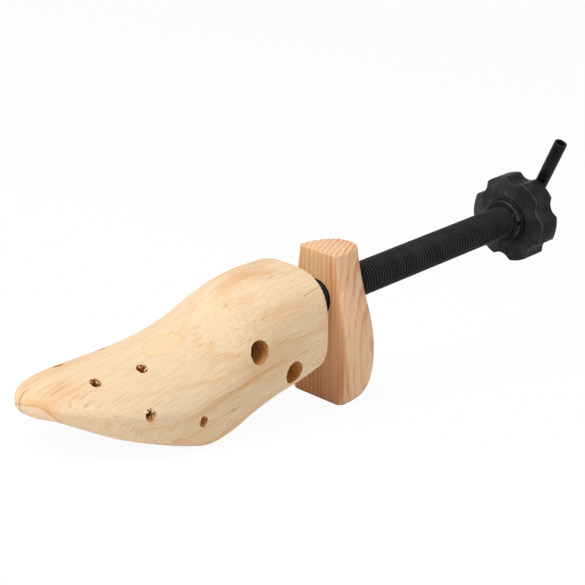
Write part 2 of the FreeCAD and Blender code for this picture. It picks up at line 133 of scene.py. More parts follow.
class ForepartSettings(PropertyGroup):
    length: distance("Length", "From the rear face to the toe", 188.0)
    half_width: distance("Half width", "Half of the width at the ball", 38.4)
    instep: distance("Instep height", "Height of the instep over the screw", 30.0)
    drop: distance("Ball drop", "Depth of the ball under the screw", 43.3)
    gap: distance("Split gap", "Gap between the two halves", 0.04)
    rim: distance("Rear rim", "Rounding of the rear edge", 2.2)
    seam: distance("Seam rounding", "Rounding of the edges along the split", 0.1)
    button_radius: distance("Button hole radius", "Radius of the blind holes", 3.0)
    button_depth: distance("Button hole depth", "Depth of the blind holes", 12.0)
    bore_radius: distance("Cross bore radius", "Radius of the two cross bores", 6.52)
    tear: distance("Tear", "How far the drill has torn the wood", 0.34)
    fibre_count: IntProperty(name="Fibres", description="Torn fibres in each ring", default=8, min=1)
    fibre_length: distance("Fibre length", "Length of the torn fibres", 1.9)
    fibre_thickness: distance("Fibre thickness", "Thickness of the torn fibres at their roots", 0.7)
    fibre_depth: distance("Fibre depth", "Depth of each ring of torn fibres under the one above", 1.0)
    rows: IntProperty(name="Rows", description="Sections along the forepart", default=150, min=40)
    columns: IntProperty(name="Columns", description="Points around half a section", default=96, min=24)


class RoomSettings(PropertyGroup):
    tube_radius: distance("Tube pocket radius", "Radius of the pocket for the tube", 10.4)
    tube_seat: distance("Tube seat", "Depth of the pocket for the tube", 9.0)
    plate_thickness: distance("Plate slot", "Width of the slot for the keeper plate", 2.7)
    plate_half_width: distance("Plate half width", "Half of the slot's length across the split", 19.1)
    plate_half_height: distance("Plate half height", "Half of the slot's height", 13.1)
    clip_end: distance("Clip pocket end", "Depth of the pocket for the clip", 15.0)
    rod_radius: distance("Rod channel radius", "Radius of the channel for the rod", 3.6)
    wedge_end: distance("Wedge room end", "Depth of the room for the wedge", 46.0)
    wedge_half_height: distance("Wedge half height", "Half of the height of the wedge's room", 9.1)
    wedge_place: distance("Wedge place", "Depth of the wedge's narrow end", 30.0)
    wedge_half_width: distance("Wedge half width", "Half width of the room at the wedge's narrow end", 7.24)
    wedge_angle: angle("Wedge angle", "Lean of the wedge's faces", 20.0)
    overlap: distance("Overlap", "Overlap of neighbouring rooms, so that no skin is left between them", 0.1)
    pin_place: distance("Pin place", "Depth of the guide pin", 132.0)
    pin_drop: distance("Pin drop", "Guide pin under the screw's axis", 12.0)
    pin_radius: distance("Pin hole radius", "Radius of the guide pin's hole", 3.03)
    pin_reach: distance("Pin reach", "Depth of the guide pin's hole in each half", 18.3)


class HeelSettings(PropertyGroup):
    front: distance("Front face", "From the forepart's rear face to the block", 22.5)
    rise: distance("Rise", "Height over the screw", 28.3)
    drop: distance("Drop", "Depth under the screw", 63.4)
    half_width: distance("Half width", "Half of the greatest width", 22.4)
    depth: distance("Depth", "Greatest depth from front to back", 39.0)
    slope: angle("Top slope", "Fall of the top to the back", 4.6)
    edge: distance("Edge", "Rounding of the top and bottom edges", 0.8)
    squareness: FloatProperty(name="Squareness", description="Squareness of the rounded back", default=2.5)
    tube_bore: distance("Tube bore radius", "Radius of the bore for the tube", 10.75)
    tear: distance("Tear", "How far the drill has torn the bore's mouth", 0.3)
    nut_bore: distance("Nut bore radius", "Radius of the bore for the heel nut", 11.22)
    nut_place: distance("Nut place", "From the front face to the heel nut's bore", 1.98)
    rib_half_width: distance("Rib half width", "Half width of the slots for the nut's ribs", 1.52)
    rib_reach: distance("Rib reach", "Reach of the slots for the nut's ribs", 12.72)


class ScrewSettings(PropertyGroup):
    radius: distance("Crest radius", "Outer radius of the thread", 10.0)
    root: distance("Root radius", "Radius between the ridges", 9.1)
    land: distance("Land radius", "Radius of the plain ends beside the ridges", 9.9)
    chamfer: distance("Chamfer", "Chamfer of the tube's edges", 0.4)
    run_out: distance("Run-out", "Length from the ridges to the full radius of the plain ends", 0.6)
    wire: distance("Ridge radius", "Rounding of the ridges", 0.95)
    pitch: distance("Pitch", "Distance between ridges", 2.4)
    start: distance("Thread start", "Where the ridges start", -6.0)
    end: distance("Thread end", "Where the ridges end", 191.0)
    tube_end: distance("Tube end", "Rear end of the tube", 210.0)
    seat: distance("Seat", "Shoulder of the tube behind the keeper plate", -9.0)
    neck_end: distance("Neck end", "Front end of the tube's neck", -14.5)
    neck: distance("Neck radius", "Radius of the tube's neck", 7.5)
    groove_front: distance("Groove front", "Front of the groove for the clip", -12.8)
    groove_back: distance("Groove back", "Back of the groove for the clip", -11.5)
    groove: distance("Groove radius", "Radius in the groove for the clip", 6.6)
    bore: distance("Bore radius", "Radius of the tube's bore", 5.5)


class WheelSettings(PropertyGroup):
    place: distance("Place", "Front face of the rim", 198.7)
    radius: distance("Radius", "Radius of the lobes", 27.5)
    thickness: distance("Thickness", "Thickness of the rim", 15.8)
    lobes: IntProperty(name="Lobes", description="Count of the lobes", default=6, min=3)
    notch_radius: distance("Notch radius", "Radius of the finger notches", 8.3)
    notch_depth: distance("Notch depth", "Depth of the finger notches", 3.4)
    notch_turn: angle("Notch turn", "Turn of the first notch from upright", 7.6)
    edge: distance("Edge", "Rounding of the rim's edges", 0.9)
    boss_radius: distance("Boss radius", "Radius of the boss at the front", 14.5)
    boss_length: distance("Boss length", "Length of the boss at the front", 3.2)
    chamfer: distance("Chamfer", "Chamfer of the boss and fillet at its foot", 0.4)
    flat: distance("Flat", "Width of the flat band inside the rim's front edge", 1.4)
    socket_radius: distance("Socket radius", "Radius of the socket for the tube", 10.02)
    socket_depth: distance("Socket depth", "Depth of the socket from the rim's front face", 11.3)
    rod_hole: distance("Rod hole radius", "Radius of the hole for the rod", 3.4)
    lock_radius: distance("Lock ring radius", "Outer radius of the lock ring", 13.3)
    lock_length: distance("Lock ring length", "Length of the lock ring", 3.0)
    lock_bore: distance("Lock ring bore", "Radius of the lock ring's bore", 10.03)
    lock_edge: distance("Lock ring edge", "Rounding of the lock ring's edges", 0.55)
    lock_notch: distance("Lock notch depth", "Depth of the lock ring's notch", 1.6)
    lock_notch_half: distance("Lock notch half width", "Half width of the lock ring's notch", 1.5)
    lock_turn: angle("Lock notch turn", "Turn of the lock ring's notch from upright", 82.0)


class LeverSettings(PropertyGroup):
    turn: angle("Turn", "Lean of the lever from upright", 24.3)
    place: distance("Place", "Lever's centre line along the screw", 219.4)
    start: distance("Start", "Inner end of the sleeve from the screw's axis", 9.0)
    reach: distance("Reach", "Outer end of the sleeve", 55.9)
    radius: distance("Radius", "Outer radius of the sleeve", 4.15)
    bore: distance("Bore", "Inner radius of the sleeve", 3.02)
    edge: distance("Edge", "Rounding of the sleeve's ends", 0.35)
    mouth: distance("Mouth", "Chamfer inside the sleeve's open end", 0.2)


class SpringSettings(PropertyGroup):
    mean: distance("Mean radius", "Radius of the coil's centre line", 4.6)
    wire: distance("Wire radius", "Radius of the wire", 0.6)
    reach: distance("Reach", "Length of each half of a spring", 11.3)
    turns: FloatProperty(name="Turns", description="Turns in each half of a spring", default=6.5, min=1)


class StageSettings(PropertyGroup):
    lens: FloatProperty(name="Lens", description="Focal length on a 36 mm sensor", default=107.65,
                        subtype="DISTANCE_CAMERA", unit="CAMERA")
    ambient: FloatProperty(name="Ambient", description="Strength of the light from all round", default=0.42)
    key: FloatProperty(name="Key light", description="Power of the large lamp", default=34.0, unit="POWER")
    fill: FloatProperty(name="Fill light", description="Power of the side lamp", default=2.6, unit="POWER")
    white: FloatProperty(name="White", description="Share of plain white in the floor as it is seen",
                         default=0.95, subtype="FACTOR", min=0, max=1)


# Node trees

VECTOR = "NodeSocketVector"
NUMBER = "NodeSocketFloat"
COUNT = "NodeSocketInt"
COLOUR = "NodeSocketColor"
MATERIAL = "NodeSocketMaterial"


def link(tree, source, target):
    """Links one socket to another."""
    tree.links.new(source, target)


def shader_group(name, inputs, outputs):
    """An empty shader node group, with the sockets that it is given and those that it has to feed."""
    group = bpy.data.node_groups.new(name, "ShaderNodeTree")
    for label, kind, default in inputs:
        socket = group.interface.new_socket(label, in_out="INPUT", socket_type=kind)
        socket.default_value = default
    for label, kind in outputs:
        group.interface.new_socket(label, in_out="OUTPUT", socket_type=kind)
    given = group.nodes.new("NodeGroupInput").outputs
    wanted = group.nodes.new("NodeGroupOutput").inputs
    return group, given, wanted


class Wiring:
    """Short forms for the few kinds of node that the groups are made of."""

    def __init__(self, tree):
        self.tree = tree

    def feed(self, socket, value):
        """Links a socket to another, or sets its value."""
        if isinstance(value, NodeSocket):
            link(self.tree, value, socket)
        else:
            socket.default_value = value

    def math(self, operation, *values):
        """A Math node."""
        node = self.tree.nodes.new("ShaderNodeMath")
        node.operation = operation
        for socket, value in zip(node.inputs, values):
            self.feed(socket, value)
        return node.outputs[0]

    def vector(self, operation, *values):
        """A Vector Math node."""
        node = self.tree.nodes.new("ShaderNodeVectorMath")
        node.operation = operation
        for socket, value in zip(node.inputs, values):
            self.feed(socket, value)
        return node.outputs["Value" if operation in ("LENGTH", "DISTANCE", "DOT_PRODUCT") else "Vector"]

    def scaled(self, vector, factor):
        """A vector times a number."""
        node = self.tree.nodes.new("ShaderNodeVectorMath")
        node.operation = "SCALE"
        self.feed(node.inputs[0], vector)
        self.feed(node.inputs["Scale"], factor)
        return node.outputs["Vector"]

    def noise(self, vector, scale, detail=2.0, rough=0.5):
        """A Noise Texture node."""
        node = self.tree.nodes.new("ShaderNodeTexNoise")
        self.feed(node.inputs["Vector"], vector)
        self.feed(node.inputs["Scale"], scale)
        self.feed(node.inputs["Detail"], detail)
        self.feed(node.inputs["Roughness"], rough)
        return node.outputs["Fac"]

    def along_noise(self, vector, stretch, scale, detail=2.0, rough=0.5):
        """Noise drawn out along X: the smaller the stretch, the longer its streaks."""
        return self.noise(self.vector("MULTIPLY", vector, (stretch, 1.0, 1.0)), scale, detail, rough)

    def ramp(self, value, low, high, to_low=0.0, to_high=1.0):
        """A smooth Map Range node."""
        node = self.tree.nodes.new("ShaderNodeMapRange")
        node.interpolation_type = "SMOOTHSTEP"
        for socket, given in zip(node.inputs, (value, low, high, to_low, to_high)):
            self.feed(socket, given)
        return node.outputs[0]

    def mix(self, share, first, second, blend="MIX"):
        """A Mix node for colours."""
        node = self.tree.nodes.new("ShaderNodeMix")
        node.data_type = "RGBA"
        node.blend_type = blend
        self.feed(node.inputs["Factor"], share)
        self.feed(node.inputs[6], first)
        self.feed(node.inputs[7], second)
        return node.outputs[2]

    def sway(self, noise, reach):
        """Noise about nought, times a reach."""
        return self.math("MULTIPLY", self.math("SUBTRACT", noise, 0.5), reach)

    def tinted(self, tint, mask, share, shade):
        """A colour, drawn towards a shade by a share of a mask."""
        return self.mix(self.math("MULTIPLY", mask, share), tint, opaque(shade))

    def parts(self, vector):
        """The three parts of a vector."""
        node = self.tree.nodes.new("ShaderNodeSeparateXYZ")
        self.feed(node.inputs[0], vector)
        return node.outputs


def opaque(rgb):
    """A colour with full alpha."""
    return (*rgb, 1.0)


def pine_group():
    """Softwood in the round: growth rings about a pith along X, fibres, resin flecks and tone."""
    group, given, wanted = shader_group(
        "Pine figure",
        [("Position", VECTOR, (0, 0, 0)),
         ("Pith", VECTOR, (0, 0, 0)),
         ("Spacing", NUMBER, 0.005),
         ("Waver", NUMBER, 0.004),
         ("Contrast", NUMBER, 0.7),
         ("Tone", NUMBER, 0.3),
         ("Flecks", NUMBER, 0.4),
         ("Fibres", NUMBER, 1.0),
         ("Spring wood", COLOUR, opaque((0.8, 0.6, 0.4))),
         ("Summer wood", COLOUR, opaque((0.6, 0.35, 0.15))),
         ("Stain", COLOUR, opaque((0.3, 0.15, 0.06)))],
        [("Colour", COLOUR), ("Height", NUMBER), ("Roughness", NUMBER)])
    w = Wiring(group)
    place = given["Position"]
    from_pith = w.vector("SUBTRACT", place, given["Pith"])
    radius = w.vector("LENGTH", w.vector("MULTIPLY", from_pith, (0.0, 1.0, 1.0)))
    slow = w.math("SUBTRACT", w.along_noise(place, 0.22, 24.0), 0.5)
    quick = w.sway(w.along_noise(place, 0.12, 170.0), 0.75)
    bent = w.math("MULTIPLY_ADD", slow, given["Waver"], radius)
    bent = w.math("MULTIPLY_ADD", quick, given["Spacing"], bent)
    phase = w.math("FRACT", w.math("DIVIDE", bent, given["Spacing"]))
    ring = w.math("MULTIPLY", w.ramp(phase, 0.25, 0.86), w.ramp(phase, 0.86, 1.0, 1.0, 0.0))
    patch = w.along_noise(place, 0.25, 34.0, 1.0)
    ring = w.math("MULTIPLY", ring, w.ramp(patch, 0.35, 0.65, 0.25, 1.0))
    ring = w.math("MULTIPLY", ring, given["Contrast"])
    fibre = w.along_noise(place, 0.035, 1500.0, 3.0, 0.6)
    streak = w.sway(w.along_noise(place, 0.03, 420.0, 2.0, 0.55), given["Fibres"])
    cloud = w.ramp(w.along_noise(place, 0.4, 27.0, 2.0), 0.43, 0.66)
    share = w.math("MULTIPLY_ADD", cloud, given["Tone"], ring)
    share = w.math("MULTIPLY_ADD", streak, 0.95, share)
    node = w.mix(share, given["Spring wood"], given["Summer wood"])
    node = w.mix(given["Fibres"], node, w.ramp(fibre, 0.30, 0.70, 0.90, 1.05), "MULTIPLY")
    fleck = w.ramp(w.along_noise(place, 0.07, 800.0, 1.0), 0.62, 0.75)
    fleck = w.math("MULTIPLY", fleck, w.ramp(w.along_noise(place, 0.5, 60.0, 1.0), 0.42, 0.6))
    fleck = w.math("MULTIPLY", w.math("MULTIPLY", fleck, given["Flecks"]), given["Fibres"])
    node = w.mix(fleck, node, given["Stain"])
    link(group, node, wanted["Colour"])
    link(group, w.math("MULTIPLY_ADD", ring, 0.6, w.math("MULTIPLY", fibre, 0.5)), wanted["Height"])
    link(group, w.math("MULTIPLY_ADD", fibre, 0.22, 0.44), wanted["Roughness"])
    return group


def knot_group():
    """A sound knot: masks of a soft oval eye and of the darker rim round it."""
    group, given, wanted = shader_group(
        "Knot",
        [("Position", VECTOR, (0, 0, 0)),
         ("Centre", VECTOR, (0, 0, 0)),
         ("Size", VECTOR, (0.01, 0.005, 0.01))],
        [("Eye", NUMBER), ("Rim", NUMBER)])
    w = Wiring(group)
    place = given["Position"]
    away = w.vector("DIVIDE", w.vector("SUBTRACT", place, given["Centre"]), given["Size"])
    wobble = w.sway(w.noise(place, 120.0), 0.16)
    reach = w.math("ADD", w.vector("LENGTH", away), wobble)
    broken = w.ramp(w.noise(place, 240.0, 2.0), 0.35, 0.6, 0.3, 1.0)
    rim = w.math("MULTIPLY", w.ramp(reach, 0.80, 0.97), w.ramp(reach, 0.97, 1.08, 1.0, 0.0))
    link(group, w.ramp(reach, 0.82, 1.02, 1.0, 0.0), wanted["Eye"])
    link(group, w.math("MULTIPLY", rim, broken), wanted["Rim"])
    return group


def line_group():
    """A mask of a thin line between two points, as of a crack or of one growth line."""
    group, given, wanted = shader_group(
        "Line",
        [("Position", VECTOR, (0, 0, 0)),
         ("Start", VECTOR, (0, 0, 0)),
         ("Way", VECTOR, (0.01, 0, 0)),
         ("Width", NUMBER, 0.0003)],
        [("Mask", NUMBER)])
    w = Wiring(group)
    way = given["Way"]
    away = w.vector("SUBTRACT", given["Position"], given["Start"])
    run = w.math("DIVIDE", w.vector("DOT_PRODUCT", away, way), w.vector("DOT_PRODUCT", way, way))
    run = w.math("MINIMUM", w.math("MAXIMUM", run, 0.0), 1.0)
    reach = w.vector("LENGTH", w.vector("SUBTRACT", away, w.scaled(way, run)))
    link(group, w.ramp(reach, 0.0, given["Width"], 1.0, 0.0), wanted["Mask"])
    return group


def arc_group():
    """Masks of the inside of a round growth layer and of the line along its edge."""
    group, given, wanted = shader_group(
        "Growth arc",
        [("Position", VECTOR, (0, 0, 0)),
         ("Centre", VECTOR, (0, 0, 0)),
         ("Radius", NUMBER, 0.02),
         ("Width", NUMBER, 0.0005)],
        [("Inside", NUMBER), ("Edge", NUMBER)])
    w = Wiring(group)
    place = given["Position"]
    wobble = w.sway(w.noise(place, 150.0), 0.0016)
    reach = w.math("ADD", w.vector("DISTANCE", place, given["Centre"]), wobble)
    beyond = w.math("DIVIDE", w.math("SUBTRACT", reach, given["Radius"]), given["Width"])
    link(group, w.ramp(beyond, -2.0, 0.0, 1.0, 0.0), wanted["Inside"])
    link(group, w.ramp(w.math("ABSOLUTE", beyond), 0.0, 1.0, 1.0, 0.0), wanted["Edge"])
    return group


def scuff_group():
    """Fine grain, scratches and a dull film, as on handled black plastic and blackened steel, with painted
    highlights and painted light where the points are marked.
    """
    group, given, wanted = shader_group(
        "Scuffs",
        [("Position", VECTOR, (0, 0, 0)),
         ("Wear", NUMBER, 0.0),
         ("Grain", NUMBER, 2500.0),
         ("Scratches", NUMBER, 0.5),
         ("Film", NUMBER, 0.1),
         ("Ground", COLOUR, opaque((0.03, 0.03, 0.03))),
         ("Worn", COLOUR, opaque((0.12, 0.12, 0.12))),
         ("Base roughness", NUMBER, 0.5)],
        [("Colour", COLOUR), ("Height", NUMBER), ("Roughness", NUMBER)])
    w = Wiring(group)
    place = given["Position"]
    grain = w.noise(place, given["Grain"], 2.0)
    cloud = w.noise(place, 85.0, 3.0, 0.6)
    lines = []
    for turn, scale in (((0.9, 0.3, 0.4), 260.0), ((0.2, 0.8, -0.7), 190.0)):
        mapping = group.nodes.new("ShaderNodeMapping")
        link(group, place, mapping.inputs["Vector"])
        mapping.inputs["Rotation"].default_value = turn
        mapping.inputs["Scale"].default_value = (0.05, 1.0, 0.6)
        lines.append(w.ramp(w.noise(mapping.outputs["Vector"], scale, 1.0), 0.735, 0.765))
    scratch = w.math("MULTIPLY", w.math("MAXIMUM", *lines), given["Scratches"])
    # Painted highlights as marked on the points; the worn colour also shows the real scratches and film.
    worn = w.math("MULTIPLY", given["Wear"], w.ramp(cloud, 0.30, 0.62, 0.35, 1.0))
    film = w.math("MULTIPLY", w.ramp(cloud, 0.4, 0.75), given["Film"])
    share = w.math("MINIMUM", w.math("ADD", w.math("MAXIMUM", worn, scratch), film), 1.0)
    link(group, w.mix(share, given["Ground"], given["Worn"]), wanted["Colour"])
    link(group, w.math("SUBTRACT", grain, scratch), wanted["Height"])
    rough = w.math("MULTIPLY_ADD", share, 0.18, given["Base roughness"])
    link(group, rough, wanted["Roughness"])
    return group


def surface(name):
    """A new material with its shader, its tree and its Object coordinates."""
    material = bpy.data.materials.new(name)
    material.use_nodes = True
    tree = material.node_tree
    shader = tree.nodes["Principled BSDF"]
    place = tree.nodes.new("ShaderNodeTexCoord").outputs["Object"]
    return material, tree, shader, place


def coat(tree, shader, tint, rough, gloss, height, strength, depth):
    """Feeds a shader its colour, roughness, gloss and bump, with the bump's depth in millimetres."""
    w = Wiring(tree)
    w.feed(shader.inputs["Base Color"], tint)
    w.feed(shader.inputs["Roughness"], rough)
    w.feed(shader.inputs["Specular IOR Level"], gloss)
    bump = tree.nodes.new("ShaderNodeBump")
    w.feed(bump.inputs["Strength"], strength)
    w.feed(bump.inputs["Distance"], depth * MM)
    w.feed(bump.inputs["Height"], height)
    w.feed(shader.inputs["Normal"], bump.outputs["Normal"])


def place_group(tree, group, **values):
    """A group node with its values set or linked by label."""
    node = tree.nodes.new("ShaderNodeGroup")
    node.node_tree = group
    wiring = Wiring(tree)
    for label, value in values.items():
        wiring.feed(node.inputs[label.replace("_", " ").capitalize()], value)
    return node


def turned(tree, place, matrix):
    """Coordinates in another frame, by a Mapping node."""
    node = tree.nodes.new("ShaderNodeMapping")
    link(tree, place, node.inputs["Vector"])
    node.inputs["Rotation"].default_value = matrix.to_euler("XYZ")
    node.inputs["Location"].default_value = matrix.translation
    return node.outputs["Vector"]


# Finishes

# Marks of the near half in the screw's frame, in millimetres: a knot on the instep, a growth layer at the
# toe, a short crack at the rear rim, growth lines along the side and a band of painted shade under the
# instep's shoulder, each with its width and strength.
KNOT_CENTRE = Vector((-103.1, -9.4, 13.6))
KNOT_SIZE = Vector((13.5, 6.2, 6.2))
TOE_CENTRE = Vector((-184.0, -4.0, -9.0))
TOE_RADIUS = 16.5
TOE_LINE_WIDTH = 0.7
CRACK_ENDS = (Vector((-15.4, -26.1, 19.1)), Vector((-2.2, -24.9, 20.5)))
CRACK_WIDTH = 0.5
MAIN_LINE = ((-158.0, -29.8, -5.7), (-142.0, -27.3, 3.2), (-109.0, -31.6, -2.1), (-79.0, -32.8, -4.5),
             (-37.0, -31.1, -0.4), (-3.7, -31.1, -2.4))
MIDDLE_LINE = ((-93.7, -37.2, -15.0), (-76.9, -35.1, -13.5), (-48.2, -32.0, -15.1), (-34.1, -31.2, -14.9))
LOW_LINE = ((-87.0, -35.9, -34.1), (-63.9, -33.3, -26.4), (-39.8, -30.4, -26.4), (-20.7, -28.5, -27.0))
# A band of painted shade under the instep's shoulder, listed with the growth lines.
SHOULDER_SHADE = ((-43.1, -25.6, 16.1), (-27.4, -26.3, 17.7), (-9.0, -26.5, 18.6))
GROWTH_LINES_AND_SHADE = ((MAIN_LINE, 2.2, 0.50), (MIDDLE_LINE, 1.8, 0.45), (LOW_LINE, 3.0, 0.35),
                (SHOULDER_SHADE, 6.0, 0.40))
LINE_WAVER = 5.0
# Painted shade in the seam at the toe: its width, and where along the length it sets in and is full.
SEAM_SHADE_WIDTH = 0.8
SEAM_SHADE_START = 180.0
SEAM_SHADE_END = 185.0
# How much of each mark shows, and its shade where that is not one of the settings.
KNOT_EYE = (0.55, (0.80, 0.56, 0.31))
KNOT_RIM = (0.50, (0.70, 0.41, 0.17))
TOE_WOOD = (0.45, (0.80, 0.66, 0.51))
TOE_LINE = (0.55, (0.52, 0.28, 0.11))
CRACK_SHARE = 0.7
SEAM_SHADE_SHARE = 0.75
# Turns of the forepart's grain from the screw's axis about Z and Y, in degrees.
GRAIN_SWING = -5
GRAIN_LEAN = 4
# Gloss, and bumps as their strength and their depth in millimetres.
WOOD_GLOSS = 0.3
WOOD_BUMP = (0.22, 0.3)
TORN_ROUGHNESS = 0.85
TORN_GLOSS = 0.1
TORN_BUMP = (0.9, 0.8)
SCUFF_DEPTH = 0.2
# Pith of the forepart's wood and of the heel block's, and the ring direction of the heel block.
PALE_PITH = Vector((0.0, 62.0, -95.0))
RED_PITH = Vector((0.0, -900.0, 40.0))
RED_TURN = Matrix(((0, 0, 1), (-0.524, 0.851, 0), (-0.851, -0.524, 0)))
# A painted contact shadow darkens the foot of the heel block below this level.
FOOT_SHADOW_LEVEL = -61.6
FOOT_SHADOW_HEIGHT = 1.6
# Painted shade of the forepart: the front of the heel block is redder from the first of these levels down
# to the second.
FOREPART_SHADE_LEVELS = (-2.0, -45.0)


def pale_pine(wood, groups):
    """The forepart's wood, with its knot, its lines and its crack, a band of painted shade under the
    instep's shoulder and painted shade in the seam at the toe.
    """
    material, tree, shader, place = surface("pale pine")
    w = Wiring(tree)
    on_screw = turned(tree, place, SCREW.inverted())
    lean = Matrix.Rotation(math.radians(GRAIN_SWING), 4, "Z")
    lean = lean @ Matrix.Rotation(math.radians(GRAIN_LEAN), 4, "Y")
    ahead = w.parts(tree.nodes.new("ShaderNodeNewGeometry").outputs["Normal"])[0]
    fibres = w.ramp(w.math("ABSOLUTE", ahead), 0.30, 0.75, 1.0, 0.25)
    figure = place_group(
        tree, groups["pine"], position=turned(tree, place, lean @ SCREW.inverted()), pith=PALE_PITH * MM,
        spacing=wood.pale_spacing, waver=0.016, contrast=0.62, tone=0.65, flecks=0.45, fibres=fibres,
        spring_wood=opaque(wood.pale_early), summer_wood=opaque(wood.pale_late), stain=opaque(wood.stain))
    tint = figure.outputs["Colour"]
    knot = place_group(tree, groups["knot"], position=on_screw, centre=KNOT_CENTRE * MM,
                       size=KNOT_SIZE * MM)
    tint = w.tinted(tint, knot.outputs["Eye"], *KNOT_EYE)
    tint = w.tinted(tint, knot.outputs["Rim"], *KNOT_RIM)
    arc = place_group(tree, groups["arc"], position=on_screw, centre=TOE_CENTRE * MM,
                      radius=TOE_RADIUS * MM, width=TOE_LINE_WIDTH * MM)
    tint = w.tinted(tint, arc.outputs["Inside"], *TOE_WOOD)
    tint = w.tinted(tint, arc.outputs["Edge"], *TOE_LINE)
    bent = w.sway(w.noise(on_screw, 55.0), LINE_WAVER * MM)
    swayed = w.vector("ADD", on_screw, w.vector("MULTIPLY", (0.0, 0.0, 1.0), bent))
    broken = w.ramp(w.along_noise(on_screw, 0.3, 110.0), 0.32, 0.6, 0.35, 1.0)
    # The shoulder band among these is painted shade under the instep's shoulder, not a growth line.
    for points, width, strength in GROWTH_LINES_AND_SHADE:
        along = 0.0
        for first, last in zip(points, points[1:]):
            way = Vector(last) - Vector(first)
            line = place_group(tree, groups["line"], position=swayed, start=Vector(first) * MM,
                               way=way * MM, width=width * MM)
            along = w.math("MAXIMUM", along, line.outputs["Mask"])
        tint = w.tinted(tint, w.math("MULTIPLY", along, broken), strength, wood.pale_late)
    first, last = CRACK_ENDS
    crack = place_group(tree, groups["line"], position=on_screw, start=first * MM, way=(last - first) * MM,
                        width=CRACK_WIDTH * MM)
    tint = w.tinted(tint, crack.outputs["Mask"], CRACK_SHARE, wood.stain)
    x, y, _ = w.parts(on_screw)
    # Painted shade along the seam at the toe, in the stain colour.
    seam = w.ramp(w.math("ABSOLUTE", y), 0.0, SEAM_SHADE_WIDTH * MM, 1.0, 0.0)
    seam = w.math("MULTIPLY", seam, w.ramp(x, -SEAM_SHADE_END * MM, -SEAM_SHADE_START * MM, 1.0, 0.0))
    tint = w.tinted(tint, seam, SEAM_SHADE_SHARE, wood.stain)
    coat(tree, shader, tint, figure.outputs["Roughness"], WOOD_GLOSS, figure.outputs["Height"], *WOOD_BUMP)
    return material


def red_pine(wood, groups):
    """The heel block's wood, with upright close rings, a painted contact shadow at its foot and painted
    shade low on its front.
    """
    material, tree, shader, place = surface("red pine")
    w = Wiring(tree)
    on_screw = turned(tree, place, SCREW.inverted())
    ahead, _, upward = w.parts(tree.nodes.new("ShaderNodeNewGeometry").outputs["Normal"])
    front = w.ramp(ahead, -0.95, -0.60, 1.0, 0.0)
    contrast = w.math("MULTIPLY_ADD", front, 0.30, w.ramp(upward, 0.7, 0.95, 0.85, 2.6))
    figure = place_group(
        tree, groups["pine"], position=turned(tree, place, RED_TURN.to_4x4() @ SCREW.inverted()),
        pith=RED_PITH * MM, spacing=wood.red_spacing, waver=0.003, contrast=contrast, tone=0.30, flecks=0.3,
        spring_wood=opaque(wood.red_early), summer_wood=opaque(wood.red_late), stain=opaque(wood.stain))
    level = w.parts(on_screw)[2]
    # Painted contact shadow along the foot of the block, in the stain colour.
    foot_shadow = w.ramp(level, (FOOT_SHADOW_LEVEL - FOOT_SHADOW_HEIGHT) * MM, FOOT_SHADOW_LEVEL * MM, 0.75, 0.0)
    # The front faces are tinted a little warmer, and lower down redder, as painted shade of the forepart.
    warm = w.mix(front, figure.outputs["Colour"], opaque((1.0, 0.96, 0.86)), "MULTIPLY")
    high, low = FOREPART_SHADE_LEVELS
    forepart_shade = w.math("MULTIPLY", front, w.ramp(level, low * MM, high * MM, 0.40, 0.0))
    tint = w.mix(foot_shadow, w.mix(forepart_shade, warm, opaque(wood.red_late)), opaque(wood.stain))
    coat(tree, shader, tint, figure.outputs["Roughness"], WOOD_GLOSS, figure.outputs["Height"], *WOOD_BUMP)
    return material


def rough_wood(name, ground, wood, groups):
    """Cut and torn wood, dull and uneven."""
    material, tree, shader, place = surface(name)
    figure = place_group(
        tree, groups["pine"], position=turned(tree, place, SCREW.inverted()), pith=PALE_PITH * MM,
        spacing=0.0032, waver=0.006, contrast=0.6, tone=0.6, flecks=0.6, spring_wood=opaque(ground),
        summer_wood=opaque([0.5 * part for part in ground]), stain=opaque(wood.stain))
    coat(tree, shader, figure.outputs["Colour"], TORN_ROUGHNESS, TORN_GLOSS, figure.outputs["Height"],
         *TORN_BUMP)
    return material


def scuffed(name, groups, metallic=0.0, gloss=0.5, bump=0.1, **values):
    """Handled plastic, blackened steel or plain metal."""
    material, tree, shader, place = surface(name)
    # The points' marks of painted highlight and painted light.
    wear = tree.nodes.new("ShaderNodeAttribute")
    wear.attribute_name = "wear"
    film = place_group(tree, groups["scuffs"], position=place, wear=wear.outputs["Fac"], **values)
    shader.inputs["Metallic"].default_value = metallic
    coat(tree, shader, film.outputs["Colour"], film.outputs["Roughness"], gloss, film.outputs["Height"],
         bump, SCUFF_DEPTH)
    return material


